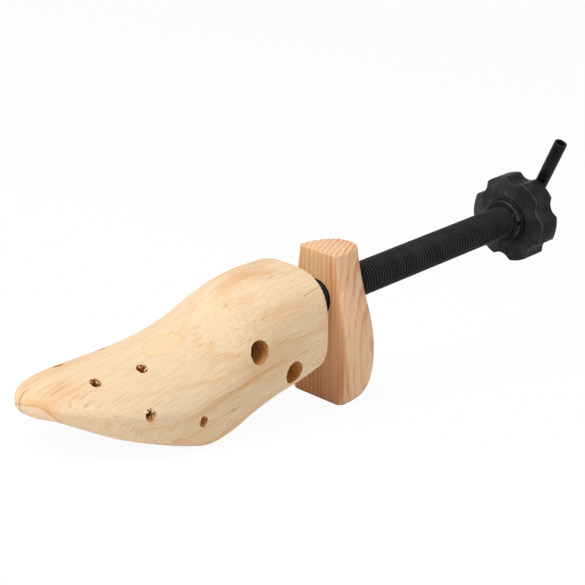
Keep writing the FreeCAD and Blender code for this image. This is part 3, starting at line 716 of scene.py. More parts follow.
def make_materials(wood):
    """All finishes of the stretcher by name."""
    groups = {"pine": pine_group(), "knot": knot_group(), "line": line_group(), "arc": arc_group(),
              "scuffs": scuff_group()}
    return {
        "pale": pale_pine(wood, groups),
        "red": red_pine(wood, groups),
        "bored": rough_wood("bored wood", wood.bored, wood, groups),
        "torn": rough_wood("torn wood", wood.torn, wood, groups),
        "plastic": scuffed("black plastic", groups, gloss=0.035, bump=0.14, grain=1900.0, scratches=0.45,
                           film=0.10, ground=opaque((0.0120, 0.0110, 0.0122)),
                           worn=opaque((0.125, 0.118, 0.122)), base_roughness=0.40),
        "thread": scuffed("black thread", groups, gloss=0.055, bump=0.08, grain=2600.0, scratches=0.25,
                          film=0.06, ground=opaque((0.0115, 0.0110, 0.0122)),
                          worn=opaque((0.105, 0.10, 0.104)), base_roughness=0.36),
        "sleeve": scuffed("black sleeve", groups, gloss=0.11, bump=0.03, grain=900.0, scratches=0.12,
                          film=0.05, ground=opaque((0.005, 0.0048, 0.005)),
                          worn=opaque((0.05, 0.047, 0.048)), base_roughness=0.20),
        "plug": scuffed("plug plastic", groups, gloss=0.3, bump=0.2, grain=1500.0, scratches=0.3,
                        film=0.1, ground=opaque((0.10, 0.055, 0.026)),
                        worn=opaque((0.17, 0.11, 0.06)), base_roughness=0.6),
        "steel": scuffed("plain steel", groups, metallic=1.0, bump=0.1, grain=1200.0, scratches=0.6,
                         film=0.1, ground=opaque((0.56, 0.55, 0.53)),
                         worn=opaque((0.40, 0.38, 0.35)), base_roughness=0.34),
        "brass": scuffed("bush brass", groups, metallic=1.0, bump=0.1, grain=1200.0, scratches=0.5,
                         film=0.1, ground=opaque((0.72, 0.53, 0.26)),
                         worn=opaque((0.50, 0.34, 0.16)), base_roughness=0.32),
    }


# Meshes

SIDES = {"right": 1, "left": -1}
# Edges sharper than these angles, in degrees, stay sharp.
WOOD_SHARP = 38
THREAD_SHARP = 30
PLASTIC_SHARP = 32
# Points on a rounded edge, round turned and bored shapes, and round a wire.
EDGE_STEPS = 5
TUBE_SEGMENTS = 72
LOCK_SEGMENTS = 96
SLEEVE_SEGMENTS = 48
POCKET_SEGMENTS = 64
BORE_SEGMENTS = 72
BUTTON_SEGMENTS = 36
WIRE_SIDES = 10
# Points along one turn of the tube's ridge and of a spring.
RIDGE_STEPS = 44
SPRING_STEPS = 32
# Rings of points along a torn hole, and how much each point strays from its neighbours.
TORN_ROWS = 12
TEAR_STRAY = 0.6


def new_piece(name, points, faces, material):
    """A mesh object from points in the screw's frame, in millimetres, with its place in its mesh."""
    mesh = bpy.data.meshes.new(name)
    mesh.from_pydata([SCREW @ (Vector(point) * MM) for point in points], [], faces)
    mesh.validate()
    mesh.materials.append(material)
    piece = bpy.data.objects.new(name, mesh)
    bpy.context.scene.collection.objects.link(piece)
    return piece


def finish_shading(piece, limit):
    """Smooth shading, with edges sharper than the limit in degrees kept."""
    piece.data.shade_smooth()
    piece.data.set_sharp_from_angle(angle=math.radians(limit))


def hermite(places, values, wanted):
    """A smooth curve through given values, read at the wanted places."""
    slopes = np.gradient(values, places)
    index = np.clip(np.searchsorted(places, wanted) - 1, 0, len(places) - 2)
    step = places[index + 1] - places[index]
    t = (wanted - places[index]) / step
    back, ahead = 1 - t, t
    return ((1 + 2 * t) * back ** 2 * values[index] + t * back ** 2 * step * slopes[index]
            + ahead ** 2 * (3 - 2 * t) * values[index + 1] - ahead ** 2 * back * step * slopes[index + 1])


def even_steps(points, count):
    """The same open outline with its points an even distance apart."""
    points = np.asarray(points, float)
    run = np.concatenate([[0], np.cumsum(np.linalg.norm(np.diff(points, axis=0), axis=1))])
    wanted = np.linspace(0, run[-1], count)
    return np.stack([np.interp(wanted, run, points[:, axis]) for axis in range(points.shape[1])], axis=1)


def skin(rings, loop):
    """Points and faces of a skin over rings of the same count of points, with closed ends or as a loop."""
    count = len(rings[0])
    points = [point for ring in rings for point in ring]
    faces = []
    rows = len(rings)
    for row in range(rows if loop else rows - 1):
        a, b = row * count, (row + 1) % rows * count
        for column in range(count):
            after = (column + 1) % count
            faces.append((a + column, a + after, b + after, b + column))
    if not loop:
        faces.append(tuple(reversed(range(count))))
        faces.append(tuple(range((rows - 1) * count, rows * count)))
    return points, faces


def outward(piece):
    """Turns all faces of a closed mesh outwards."""
    mesh = bmesh.new()
    mesh.from_mesh(piece.data)
    bmesh.ops.recalc_face_normals(mesh, faces=mesh.faces)
    mesh.to_mesh(piece.data)
    mesh.free()


def solid(name, rings, material, loop=False):
    """A closed piece over rings, with its faces outwards."""
    piece = new_piece(name, *skin(rings, loop), material)
    outward(piece)
    return piece


def turned_piece(name, profile, segments, material, foot=(0, 0, 0), axis=(1, 0, 0), start=(0, 0, 1)):
    """A closed ring-shaped piece, turned from a profile of distances along the axis and radii."""
    axis = Vector(axis).normalized()
    side = Vector(start).normalized()
    other = axis.cross(side)
    rings = []
    for along, radius in profile:
        centre = Vector(foot) + axis * along
        rings.append([centre + (side * math.cos(turn) + other * math.sin(turn)) * radius
                      for turn in np.linspace(0, FULL_TURN, segments, endpoint=False)])
    return solid(name, rings, material, loop=True)


def rounding(radius):
    """A rounded edge from an end face outwards: how far from the face, and how far in from the side."""
    return [(radius * (1 - math.cos(turn)), radius * (1 - math.sin(turn)))
            for turn in np.linspace(0, QUARTER_TURN, EDGE_STEPS)]


def round_edged(length, bore, radius, edge):
    """The profile of a short tube with rounded outer edges, from its bore to its far end face."""
    near = [(along, radius - inset) for along, inset in rounding(edge)]
    return [(0, bore), *near, *((length - along, out) for along, out in reversed(near))]


def bar_cutter(name, foot, axis, radius, reach, material, tear=0.0, seed=1, segments=48):
    """A round cutter, with an uneven wall where the drill has torn the wood."""
    axis = Vector(axis).normalized()
    side = axis.orthogonal().normalized()
    other = axis.cross(side)
    dice = random.Random(seed)
    tears = [dice.uniform(-1, 1) for _ in range(segments)]
    rows = TORN_ROWS if tear else 2
    rings = []
    for row in range(rows):
        ring = []
        for step in range(segments):
            turn = FULL_TURN * step / segments
            uneven = 0.5 * (tears[step] + tears[step - 1]) + dice.uniform(-TEAR_STRAY, TEAR_STRAY)
            out = (side * math.cos(turn) + other * math.sin(turn)) * (radius + tear * uneven)
            ring.append(Vector(foot) + axis * (reach * row / (rows - 1)) + out)
        rings.append(ring)
    return solid(name, rings, material)


def prism_cutter(name, outline, low, high, material):
    """An upright cutter over a flat outline in X and Y."""
    return solid(name, [[(x, y, level) for x, y in outline] for level in (low, high)], material)


def settle(piece, modifier):
    """Makes a modifier's outcome the piece's own mesh."""
    bpy.context.view_layer.update()
    graph = bpy.context.evaluated_depsgraph_get()
    mesh = bpy.data.meshes.new_from_object(piece.evaluated_get(graph))
    piece.modifiers.remove(modifier)
    if not mesh.polygons:
        raise RuntimeError(f"{piece.name} came out empty")
    old = piece.data
    piece.data = mesh
    bpy.data.meshes.remove(old)


def cut_away(piece, cutters):
    """Cuts the cutters out of the piece and removes them. Cut faces take the cutter's material."""
    for cutter in cutters:
        modifier = piece.modifiers.new("cut", "BOOLEAN")
        modifier.operation = "DIFFERENCE"
        modifier.solver = "EXACT"
        modifier.material_mode = "TRANSFER"
        modifier.object = cutter
        settle(piece, modifier)
        bpy.data.objects.remove(cutter)


def joined(first, *others):
    """The first piece with the others' meshes added."""
    with bpy.context.temp_override(active_object=first, selected_editable_objects=[first, *others]):
        bpy.ops.object.join()
    return first


def mark_painted_light(piece, wear):
    """Stores each point's share of painted highlight and painted light, from 0 to 1. The function that it is
    given takes a point in the screw's frame.
    """
    attribute = piece.data.attributes.new("wear", "FLOAT", "POINT")
    back = SCREW.inverted()
    attribute.data.foreach_set("value", [wear(back @ vertex.co / MM) for vertex in piece.data.vertices])


def fade(value, reach):
    """1 at nought, falling to 0 at the reach."""
    return max(0.0, 1 - abs(value) / reach)


def hand_in(piece, node, body):
    """Puts a piece in place of a solid and the body that it rides."""
    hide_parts(node)
    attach(piece, body)


# Geometry node trees


def geometry_tree(name, inputs):
    """An empty geometry tree, the identifiers of its sockets by label, and the sockets it is given."""
    tree = bpy.data.node_groups.new(name, "GeometryNodeTree")
    sockets = {}
    for label, kind, default in inputs:
        socket = tree.interface.new_socket(label, in_out="INPUT", socket_type=kind)
        if default is not None:
            socket.default_value = default
        sockets[label] = socket.identifier
    tree.interface.new_socket("Geometry", in_out="OUTPUT", socket_type="NodeSocketGeometry")
    return tree, sockets, tree.nodes.new("NodeGroupInput").outputs


def end_tree(tree, given, geometry):
    """Ends a geometry tree in Realize Instances and Set Material."""
    real = tree.nodes.new("GeometryNodeRealizeInstances")
    paint = tree.nodes.new("GeometryNodeSetMaterial")
    link(tree, geometry, real.inputs["Geometry"])
    link(tree, real.outputs["Geometry"], paint.inputs["Geometry"])
    link(tree, given["Finish"], paint.inputs["Material"])
    link(tree, paint.outputs["Geometry"], tree.nodes.new("NodeGroupOutput").inputs["Geometry"])


def coil_tree():
    """A round wire wound into a coil along Z."""
    tree, sockets, given = geometry_tree(
        "Coil",
        [("Radius", NUMBER, 0.01), ("Wire radius", NUMBER, 0.001),
         ("Turns", NUMBER, 10.0), ("Length", NUMBER, 0.02),
         ("Steps", COUNT, 36), ("Sides", COUNT, 8),
         ("Finish", MATERIAL, None)])
    spiral = tree.nodes.new("GeometryNodeCurveSpiral")
    for label, target in (("Steps", "Resolution"), ("Turns", "Rotations"), ("Radius", "Start Radius"),
                          ("Radius", "End Radius"), ("Length", "Height")):
        link(tree, given[label], spiral.inputs[target])
    circle = tree.nodes.new("GeometryNodeCurvePrimitiveCircle")
    link(tree, given["Sides"], circle.inputs["Resolution"])
    link(tree, given["Wire radius"], circle.inputs["Radius"])
    sweep = tree.nodes.new("GeometryNodeCurveToMesh")
    link(tree, spiral.outputs["Curve"], sweep.inputs["Curve"])
    link(tree, circle.outputs["Curve"], sweep.inputs["Profile Curve"])
    sweep.inputs["Fill Caps"].default_value = True
    smooth = tree.nodes.new("GeometryNodeSetShadeSmooth")
    link(tree, sweep.outputs["Mesh"], smooth.inputs["Geometry"])
    end_tree(tree, given, smooth.outputs["Geometry"])
    return tree, sockets


def splinter_tree():
    """A ring of torn fibres about Z, each a flat blunt spike that leans into the hole."""
    tree, sockets, given = geometry_tree(
        "Splinters",
        [("Radius", NUMBER, 0.003), ("Count", COUNT, 14),
         ("Length", NUMBER, 0.0016), ("Thickness", NUMBER, 0.0003),
         ("Seed", COUNT, 1), ("Finish", MATERIAL, None)])
    w = Wiring(tree)

    def dice(low, high):
        node = tree.nodes.new("FunctionNodeRandomValue")
        node.data_type = "FLOAT_VECTOR"
        node.inputs[0].default_value = low
        node.inputs[1].default_value = high
        link(tree, given["Seed"], node.inputs["Seed"])
        return node.outputs[0]

    circle = tree.nodes.new("GeometryNodeCurvePrimitiveCircle")
    link(tree, given["Count"], circle.inputs["Resolution"])
    link(tree, given["Radius"], circle.inputs["Radius"])
    points = tree.nodes.new("GeometryNodeCurveToPoints")
    points.mode = "EVALUATED"
    link(tree, circle.outputs["Curve"], points.inputs["Curve"])
    spike = tree.nodes.new("GeometryNodeMeshCone")
    spike.inputs["Vertices"].default_value = 5
    link(tree, given["Thickness"], spike.inputs["Radius Bottom"])
    link(tree, w.math("MULTIPLY", given["Thickness"], 0.3), spike.inputs["Radius Top"])
    link(tree, given["Length"], spike.inputs["Depth"])
    place = tree.nodes.new("GeometryNodeInputPosition").outputs["Position"]
    inward = w.scaled(w.vector("NORMALIZE", place), -1.0)
    lean = tree.nodes.new("FunctionNodeAlignRotationToVector")
    lean.axis = "Z"
    link(tree, w.vector("ADD", inward, dice((-0.7, -0.7, -1.0), (0.7, 0.7, 0.0))), lean.inputs["Vector"])
    scatter = tree.nodes.new("GeometryNodeInstanceOnPoints")
    link(tree, points.outputs["Points"], scatter.inputs["Points"])
    link(tree, spike.outputs["Mesh"], scatter.inputs["Instance"])
    link(tree, lean.outputs["Rotation"], scatter.inputs["Rotation"])
    link(tree, dice((0.5, 0.3, 0.3), (1.5, 0.7, 1.2)), scatter.inputs["Scale"])
    end_tree(tree, given, scatter.outputs["Instances"])
    return tree, sockets


def grown(name, tree_name, matrix, **values):
    """The outcome of a geometry tree as a plain mesh, put in its place in the screw's frame."""
    tree, sockets = TREES[tree_name]
    piece = bpy.data.objects.new(name, bpy.data.meshes.new(name))
    bpy.context.scene.collection.objects.link(piece)
    modifier = piece.modifiers.new(tree_name, "NODES")
    modifier.node_group = tree
    for label, value in values.items():
        modifier[sockets[label.replace("_", " ").capitalize()]] = value
    settle(piece, modifier)
    piece.data.transform(SCREW @ matrix)
    return piece


# Forepart

# Sections of the forepart from the rear face to the toe: place, half width, crest, sole and level of
# greatest width as shares of the settings, then the squareness above and below that level.
FOREPART_SECTIONS = np.array((
    (0.000, 0.810, 0.915, 0.735, 0.100, 2.95, 3.40),
    (0.080, 0.806, 0.952, 0.803, 0.110, 2.85, 3.80),
    (0.180, 0.812, 0.995, 0.834, 0.145, 2.40, 4.40),
    (0.290, 0.846, 0.930, 0.879, 0.208, 1.95, 5.40),
    (0.400, 0.909, 0.725, 0.935, 0.300, 1.65, 7.00),
    (0.500, 0.970, 0.590, 0.915, 0.346, 1.52, 8.50),
    (0.600, 1.000, 0.513, 0.764, 0.300, 1.48, 9.00),
    (0.700, 0.968, 0.478, 0.582, 0.208, 1.48, 9.00),
    (0.800, 0.855, 0.474, 0.392, 0.092, 1.52, 8.00),
    (0.880, 0.672, 0.462, 0.208, 0.000, 1.62, 6.50),
    (0.940, 0.460, 0.445, 0.068, -0.069, 1.75, 5.00),
    (0.980, 0.235, 0.410, 0.012, -0.104, 1.90, 3.40),
    (0.994, 0.125, 0.335, -0.044, -0.125, 2.00, 2.60),
    (1.000, 0.040, 0.250, -0.120, -0.145, 2.00, 2.00),
))
# Blind holes: mouth along the length, out to the side and up, as shares, then the direction outwards.
BUTTON_HOLES = (
    (0.809, 0.375, 0.350, -0.12, 0.55, 0.83),
    (0.656, 0.427, 0.303, -0.05, 0.56, 0.83),
    (0.719, 0.938, -0.210, -0.20, 0.97, -0.10),
    (0.540, 0.985, -0.700, 0.00, 0.95, -0.30),
)
# Cross bores: place along the screw and level, in millimetres.
CROSS_BORES = ((-54.0, 0.0), (-27.0, -21.0))
# How far a cutter stands out of what it cuts, in millimetres.
OVERRUN = 4.0
RIM_STEPS = 8
OUTLINE_STEPS = 401
# The rounding along the split: its greatest share of a narrow section, and how far its corner is cut.
SEAM_SHARE = 0.25
SEAM_CORNER = 0.3
# How torn the tube's pocket and the cross bores are, as shares of the tear in the small holes.
POCKET_TEAR = 0.15
BORE_TEAR = 0.8
FIBRE_LAYERS = 2
# First seeds of the torn walls and of the fibres, and the steps from the left half to the right one and
# from hole to hole.
POCKET_SEED = 3
BORE_SEED = 20
BUTTON_SEED = 40
SIDE_SEEDS = 10
FIBRE_SEED = 7
FIBRE_HOLE_SEEDS = 5
FIBRE_SIDE_SEEDS = 50


def forepart_rows(size):
    """Sections at close places: place in millimetres, six values, and how far the rear rim draws in."""
    nearness = np.sqrt(1 - FOREPART_SECTIONS[::-1, 0])
    wanted = np.linspace(0, 1, size.rows)
    columns = [FOREPART_SECTIONS[::-1, column] for column in range(1, FOREPART_SECTIONS.shape[1])]
    values = np.stack([hermite(nearness, column, wanted) for column in columns], axis=1)
    rows = [(-(1 - near ** 2) * size.length, *row, 0.0) for near, row in zip(wanted, values)]
    rows = [row for row in rows if row[0] < -size.rim]
    last = rows[-1]
    for turn in np.linspace(0, QUARTER_TURN, RIM_STEPS):
        place = -size.rim * (1 - math.sin(turn))
        share = place / last[0]
        between = np.array(last[1:-1]) * share + values[-1] * (1 - share)
        rows.append((place, *between, size.rim * (1 - math.cos(turn))))
    return rows


def forepart_rings(size):
    """Sections of the right half, each closed along the split."""
    rings = []
    inner = size.gap / 2
    for place, width, crest, sole, level, above, below, inset in forepart_rows(size):
        middle = -level * size.drop
        up = crest * size.instep - middle - inset
        down = sole * size.drop + middle - inset
        out = width * size.half_width - inset
        outline = []
        for turn in np.linspace(QUARTER_TURN, -QUARTER_TURN, OUTLINE_STEPS):
            power = 2 / (above if turn >= 0 else below)
            rise = abs(math.sin(turn)) ** power * (up if turn >= 0 else -down)
            outline.append((inner + abs(math.cos(turn)) ** power * out, middle + rise))
        soft = min(size.seam, SEAM_SHARE * out)
        outline = [(y, z) for y, z in outline if y > inner + soft]
        top, bottom = outline[0][1], outline[-1][1]
        near = SEAM_CORNER * soft
        ring = [(inner, top - soft), (inner + near, top - near)]
        ring += [tuple(pair) for pair in even_steps(outline, size.columns)]
        ring += [(inner + near, bottom + near), (inner, bottom + soft)]
        rings.append([(place, y, z) for y, z in ring])
    return rings


def button_holes(size, side):
    """Mouth and outward direction of each blind hole of one half."""
    holes = []
    for along, out, rise, x, y, z in BUTTON_HOLES:
        mouth = Vector((-along * size.length, out * size.half_width * side, rise * size.instep))
        holes.append((mouth, Vector((x, y * side, z)).normalized()))
    return holes


def forepart_cutters(size, room, side):
    """All that is cut from one half: rooms for the screw, the plate, the wedge and the pin, and holes."""
    bored = FINISH["bored"]
    ahead = (1, 0, 0)
    across = (0, side, 0)
    slope = math.tan(room.wedge_angle)
    plate_front = -room.tube_seat - room.plate_thickness
    plate_back = room.overlap - room.tube_seat
    plate = [(plate_front, -OVERRUN * side), (plate_back, -OVERRUN * side),
             (plate_back, room.plate_half_width * side), (plate_front, room.plate_half_width * side)]
    wedge_start = room.clip_end - room.overlap
    wedge = [(-room.wedge_end, -OVERRUN * side), (-wedge_start, -OVERRUN * side)]
    for place in (wedge_start, room.wedge_end):
        wedge.append((-place, (room.wedge_half_width + (place - room.wedge_place) * slope) * side))
    cutters = [
        bar_cutter("tube pocket", (-room.tube_seat, 0, 0), ahead, room.tube_radius,
                   room.tube_seat + OVERRUN, bored, POCKET_TEAR * size.tear, POCKET_SEED,
                   POCKET_SEGMENTS),
        bar_cutter("clip pocket", (-room.clip_end, 0, 0), ahead, room.tube_radius,
                   room.clip_end - room.tube_seat - room.plate_thickness / 2, bored),
        bar_cutter("rod channel", (-room.wedge_end, 0, 0), ahead, room.rod_radius,
                   room.wedge_end - room.tube_seat, bored),
        prism_cutter("plate slot", plate, -room.plate_half_height, room.plate_half_height, bored),
        prism_cutter("wedge room", wedge, -room.wedge_half_height, room.wedge_half_height, bored),
        bar_cutter("pin hole", (-room.pin_place, -OVERRUN * side, -room.pin_drop), across, room.pin_radius,
                   room.pin_reach + OVERRUN, bored),
    ]
    for index, (place, level) in enumerate(CROSS_BORES):
        cutters.append(bar_cutter(f"cross bore {index}", (place, -side, level), across, size.bore_radius,
                                  size.half_width + OVERRUN, bored, BORE_TEAR * size.tear,
                                  BORE_SEED + index + (side > 0) * SIDE_SEEDS, BORE_SEGMENTS))
    for index, (mouth, way) in enumerate(button_holes(size, side)):
        cutters.append(bar_cutter(f"button hole {index}", mouth - way * size.button_depth, way,
                                  size.button_radius, size.button_depth + OVERRUN, bored, size.tear,
                                  BUTTON_SEED + index + (side > 0) * SIDE_SEEDS, BUTTON_SEGMENTS))
    return cutters


def fibres_round(size, side):
    """Rings of torn fibres just inside the mouths of one half's small holes."""
    rings = []
    first_seed = FIBRE_SEED + (side > 0) * FIBRE_SIDE_SEEDS
    for index, (mouth, way) in enumerate(button_holes(size, side)):
        turn = way.to_track_quat("Z", "Y").to_matrix().to_4x4()
        for layer in range(FIBRE_LAYERS):
            depth = size.fibre_depth * (layer + 1)
            matrix = Matrix.Translation((mouth - way * depth) * MM) @ turn
            rings.append(grown(f"fibres {index} {layer}", "splinters", matrix,
                               radius=(size.button_radius + size.tear) * MM, count=size.fibre_count,
                               length=size.fibre_length * MM, thickness=size.fibre_thickness * MM,
                               seed=first_seed + index * FIBRE_HOLE_SEEDS + layer, finish=FINISH["torn"]))
    return rings


class STRETCHER_OT_forepart(Operator):
    """Builds the two wooden halves of the forepart"""
    bl_idname = "stretcher.forepart"
    bl_label = "Forepart halves"

    def execute(self, context):
        size = in_mm(context.scene.stretcher_forepart)
        room = in_mm(context.scene.stretcher_room)
        rings = forepart_rings(size)
        for body, side in SIDES.items():
            placed = [[(x, y * side, z) for x, y, z in ring] for ring in rings]
            piece = solid(f"{body}_wood", placed, FINISH["pale"])
            cut_away(piece, forepart_cutters(size, room, side))
            finish_shading(piece, WOOD_SHARP)
            joined(piece, *fibres_round(size, side))
            hand_in(piece, f"forepart_{body}", body)
        return {"FINISHED"}


# Heel block

# Levels of the heel block from its bottom to its top: level, half width and depth as shares of the
# settings, and the rounding of the front corners in millimetres.
HEEL_SECTIONS = np.array((
    (0.000, 0.850, 0.880, 3.8),
    (0.048, 0.918, 0.945, 3.5),
    (0.115, 0.968, 0.990, 3.1),
    (0.223, 1.010, 1.010, 2.7),
    (0.365, 1.035, 0.980, 2.4),
    (0.530, 1.000, 0.890, 2.4),
    (0.695, 0.865, 0.795, 2.5),
    (0.860, 0.715, 0.745, 2.4),
    (1.050, 0.612, 0.705, 2.6),
))
# Outlines in each rounded edge and between the edges, where those start and end as shares of the height,
# and points of an outline: on a corner, on the back as first drawn, and on the half that is kept.
HEEL_EDGE_STEPS = 6
HEEL_LEVELS = 74
HEEL_LOWEST, HEEL_HIGHEST = 0.02, 0.98
HEEL_CORNER_STEPS = 12
HEEL_BACK_STEPS = 161
HEEL_POINTS = 72
# The top's slope sets in at the first share of the height, and is full after the second.
HEEL_SLOPE_START, HEEL_SLOPE_RUN = 0.7, 0.3
HEEL_BORE_SEED = 60


def heel_rings(size):
    """Level outlines of the heel block: a flat front with rounded corners and a full back."""
    height = size.rise + size.drop
    curl = np.linspace(0, QUARTER_TURN, HEEL_EDGE_STEPS)
    edge_share = size.edge / height
    levels = np.concatenate([edge_share * (1 - np.cos(curl)),
                             np.linspace(HEEL_LOWEST, HEEL_HIGHEST, HEEL_LEVELS),
                             1 - edge_share * (1 - np.sin(curl))])
    values = [hermite(HEEL_SECTIONS[:, 0], HEEL_SECTIONS[:, column], levels) for column in range(1, 4)]
    rings = []
    for level, width, depth, corner in zip(levels, *values):
        to_end = min(level, 1 - level) * height / size.edge
        inset = 0.0
        if to_end < 1:
            inset = size.edge * (1 - math.sqrt(max(0.0, 1 - (1 - to_end) ** 2)))
        half = width * size.half_width - inset
        deep = depth * size.depth - inset
        power = 2 / size.squareness
        shoulder = half * (1 - (corner / deep) ** size.squareness) ** (1 / size.squareness)
        edge = [(inset, 0.0)]
        for turn in np.linspace(0, QUARTER_TURN, HEEL_CORNER_STEPS):
            edge.append((inset + corner * (1 - math.cos(turn)), shoulder - corner * (1 - math.sin(turn))))
        for turn in np.linspace(0, QUARTER_TURN, HEEL_BACK_STEPS):
            x = deep * math.sin(turn) ** power
            if x > corner + inset:
                edge.append((x, half * math.cos(turn) ** power))
        edge = even_steps(edge, HEEL_POINTS)
        outline = [tuple(pair) for pair in edge] + [(x, -y) for x, y in edge[::-1][1:-1]]
        sloped = min(1.0, max(0.0, (level - HEEL_SLOPE_START) / HEEL_SLOPE_RUN))
        fall = math.tan(size.slope) * sloped
        lift = level * height - size.drop
        rings.append([(size.front + x, y, lift - x * fall) for x, y in outline])
    return rings


class STRETCHER_OT_heel_block(Operator):
    """Builds the wooden heel block with its torn bore"""
    bl_idname = "stretcher.heel_block"
    bl_label = "Heel block"

    def execute(self, context):
        size = in_mm(context.scene.stretcher_heel)
        bored = FINISH["bored"]
        ahead = (1, 0, 0)
        start = size.front - OVERRUN
        nut = size.front + size.nut_place
        end = size.front + 2 * size.depth
        reach = size.rib_reach
        slot = [(nut, -reach), (end, -reach), (end, reach), (nut, reach)]
        piece = solid("heel_wood", heel_rings(size), FINISH["red"])
        cut_away(piece, [
            bar_cutter("tube bore", (start, 0, 0), ahead, size.tube_bore, end - start, bored,
                       size.tear, HEEL_BORE_SEED, BORE_SEGMENTS),
            bar_cutter("nut bore", (nut, 0, 0), ahead, size.nut_bore, end - nut, bored,
                       segments=BORE_SEGMENTS),
            prism_cutter("rib slots", slot, -size.rib_half_width, size.rib_half_width, bored),
        ])
        finish_shading(piece, WOOD_SHARP)
        hand_in(piece, "heel_block", "heel")
        return {"FINISHED"}


# Screw

# How much painted highlight the ridges, the wheel's edges, the lock ring and the lever's end take, and how
# much painted light the wheel's face takes, from 0 to 1. The face takes more to one side, as a painted
# sheen.
TUBE_HIGHLIGHT = 0.18
FACE_LIGHT = 0.22
FACE_SHEEN_SLANT = 0.18
RIM_HIGHLIGHT = 0.7
LOCK_HIGHLIGHT = 0.35
LEVER_HIGHLIGHT = 0.5
# How far from an edge the painted highlight goes, in millimetres.
HIGHLIGHT_REACH = 0.3
RIM_HIGHLIGHT_REACH = 1.0


class STRETCHER_OT_screw(Operator):
    """Builds the threaded tube, with its ridges wound round it"""
    bl_idname = "stretcher.screw"
    bl_label = "Threaded tube"

    def execute(self, context):
        size = in_mm(context.scene.stretcher_screw)
        cut = size.chamfer
        profile = [(size.neck_end, size.bore), (size.neck_end, size.neck - cut),
                   (size.neck_end + cut, size.neck), (size.groove_front, size.neck),
                   (size.groove_front, size.groove),
                   (size.groove_back, size.groove), (size.groove_back, size.neck), (size.seat, size.neck),
                   (size.seat, size.land - cut), (size.seat + cut, size.land),
                   (size.start - size.run_out, size.land), (size.start, size.root), (size.end, size.root),
                   (size.end + size.run_out, size.land), (size.tube_end, size.land),
                   (size.tube_end, size.bore)]
        tube = turned_piece("black_tube", profile, TUBE_SEGMENTS, FINISH["thread"])
        finish_shading(tube, THREAD_SHARP)
        length = size.end - size.start
        matrix = Matrix.Translation((size.start * MM, 0, 0)) @ Matrix.Rotation(QUARTER_TURN, 4, "Y")
        ridge = grown("ridge", "coil", matrix, radius=(size.radius - size.wire) * MM,
                      wire_radius=size.wire * MM, turns=length / size.pitch, length=length * MM,
                      steps=RIDGE_STEPS, sides=WIRE_SIDES, finish=FINISH["thread"])
        joined(tube, ridge)
        # Painted highlights along the ridges' crests.
        mark_painted_light(tube, lambda p: TUBE_HIGHLIGHT * fade(math.hypot(p.y, p.z) - size.radius, HIGHLIGHT_REACH))
        hand_in(tube, "threaded_tube", "screw")
        return {"FINISHED"}


# Hand wheel

WHEEL_STEPS = 360
WHEEL_SMOOTHINGS = 3


def wheel_outline(size):
    """The lobed outline of the hand wheel, as radii at even angles from upright to the lever's side."""
    centre = size.radius - size.notch_depth + size.notch_radius
    lobe = FULL_TURN / size.lobes
    radii = []
    for turn in np.linspace(0, FULL_TURN, WHEEL_STEPS, endpoint=False):
        off = (turn - size.notch_turn + lobe / 2) % lobe - lobe / 2
        inside = size.notch_radius ** 2 - (centre * math.sin(off)) ** 2
        notch = centre * math.cos(off) - math.sqrt(inside) if inside > 0 else size.radius
        radii.append(min(size.radius, notch))
    radii = np.array(radii)
    for _ in range(WHEEL_SMOOTHINGS):
        radii = 0.25 * np.roll(radii, 1) + 0.5 * radii + 0.25 * np.roll(radii, -1)
    return radii


def hand_wheel(size):
    """The lobed hand wheel with its boss, its socket and its hole for the rod."""
    radii = wheel_outline(size)
    count = len(radii)
    turns = np.linspace(0, FULL_TURN, count, endpoint=False)
    front, back = size.place, size.place + size.thickness
    boss_front, floor = front - size.boss_length, front + size.socket_depth

    def ring(place, inset=0.0, radius=None):
        reach = radii - inset if radius is None else np.full(count, radius)
        return [(place, -r * math.sin(turn), r * math.cos(turn)) for r, turn in zip(reach, turns)]

    edge = rounding(size.edge)
    boss, chamfer = size.boss_radius, size.chamfer
    rings = [ring(floor, radius=size.socket_radius), ring(boss_front, radius=size.socket_radius),
             ring(boss_front, radius=boss - chamfer), ring(boss_front + chamfer, radius=boss),
             ring(front - chamfer, radius=boss), ring(front, radius=boss + chamfer),
             ring(front, inset=2 * size.edge + size.flat), ring(front, inset=2 * size.edge)]
    rings += [ring(front + along, inset=inset) for along, inset in edge]
    rings += [ring(back - along, inset=inset) for along, inset in edge[::-1]]
    rings += [ring(back, inset=2 * size.edge), ring(back, radius=boss), ring(back, radius=size.rod_hole),
              ring(floor, radius=size.rod_hole)]
    wheel = solid("hand_wheel", rings, FINISH["plastic"], loop=True)
    finish_shading(wheel, PLASTIC_SHARP)

    # Painted light on the face, more to one side as a painted sheen, and painted highlights on the rim's
    # edges.
    def worn(point):
        turn = math.atan2(-point.y, point.z)
        reach = math.hypot(point.y, point.z)
        rim = radii[int(round(turn / FULL_TURN * count)) % count]
        near = math.hypot(reach - rim, min(abs(point.x - front), abs(point.x - back)))
        face = 0.0
        if abs(point.x - front) < chamfer and reach > boss:
            face = FACE_LIGHT + FACE_SHEEN_SLANT * point.y / size.radius
        return max(face, RIM_HIGHLIGHT * fade(near, RIM_HIGHLIGHT_REACH))

    mark_painted_light(wheel, worn)
    return wheel


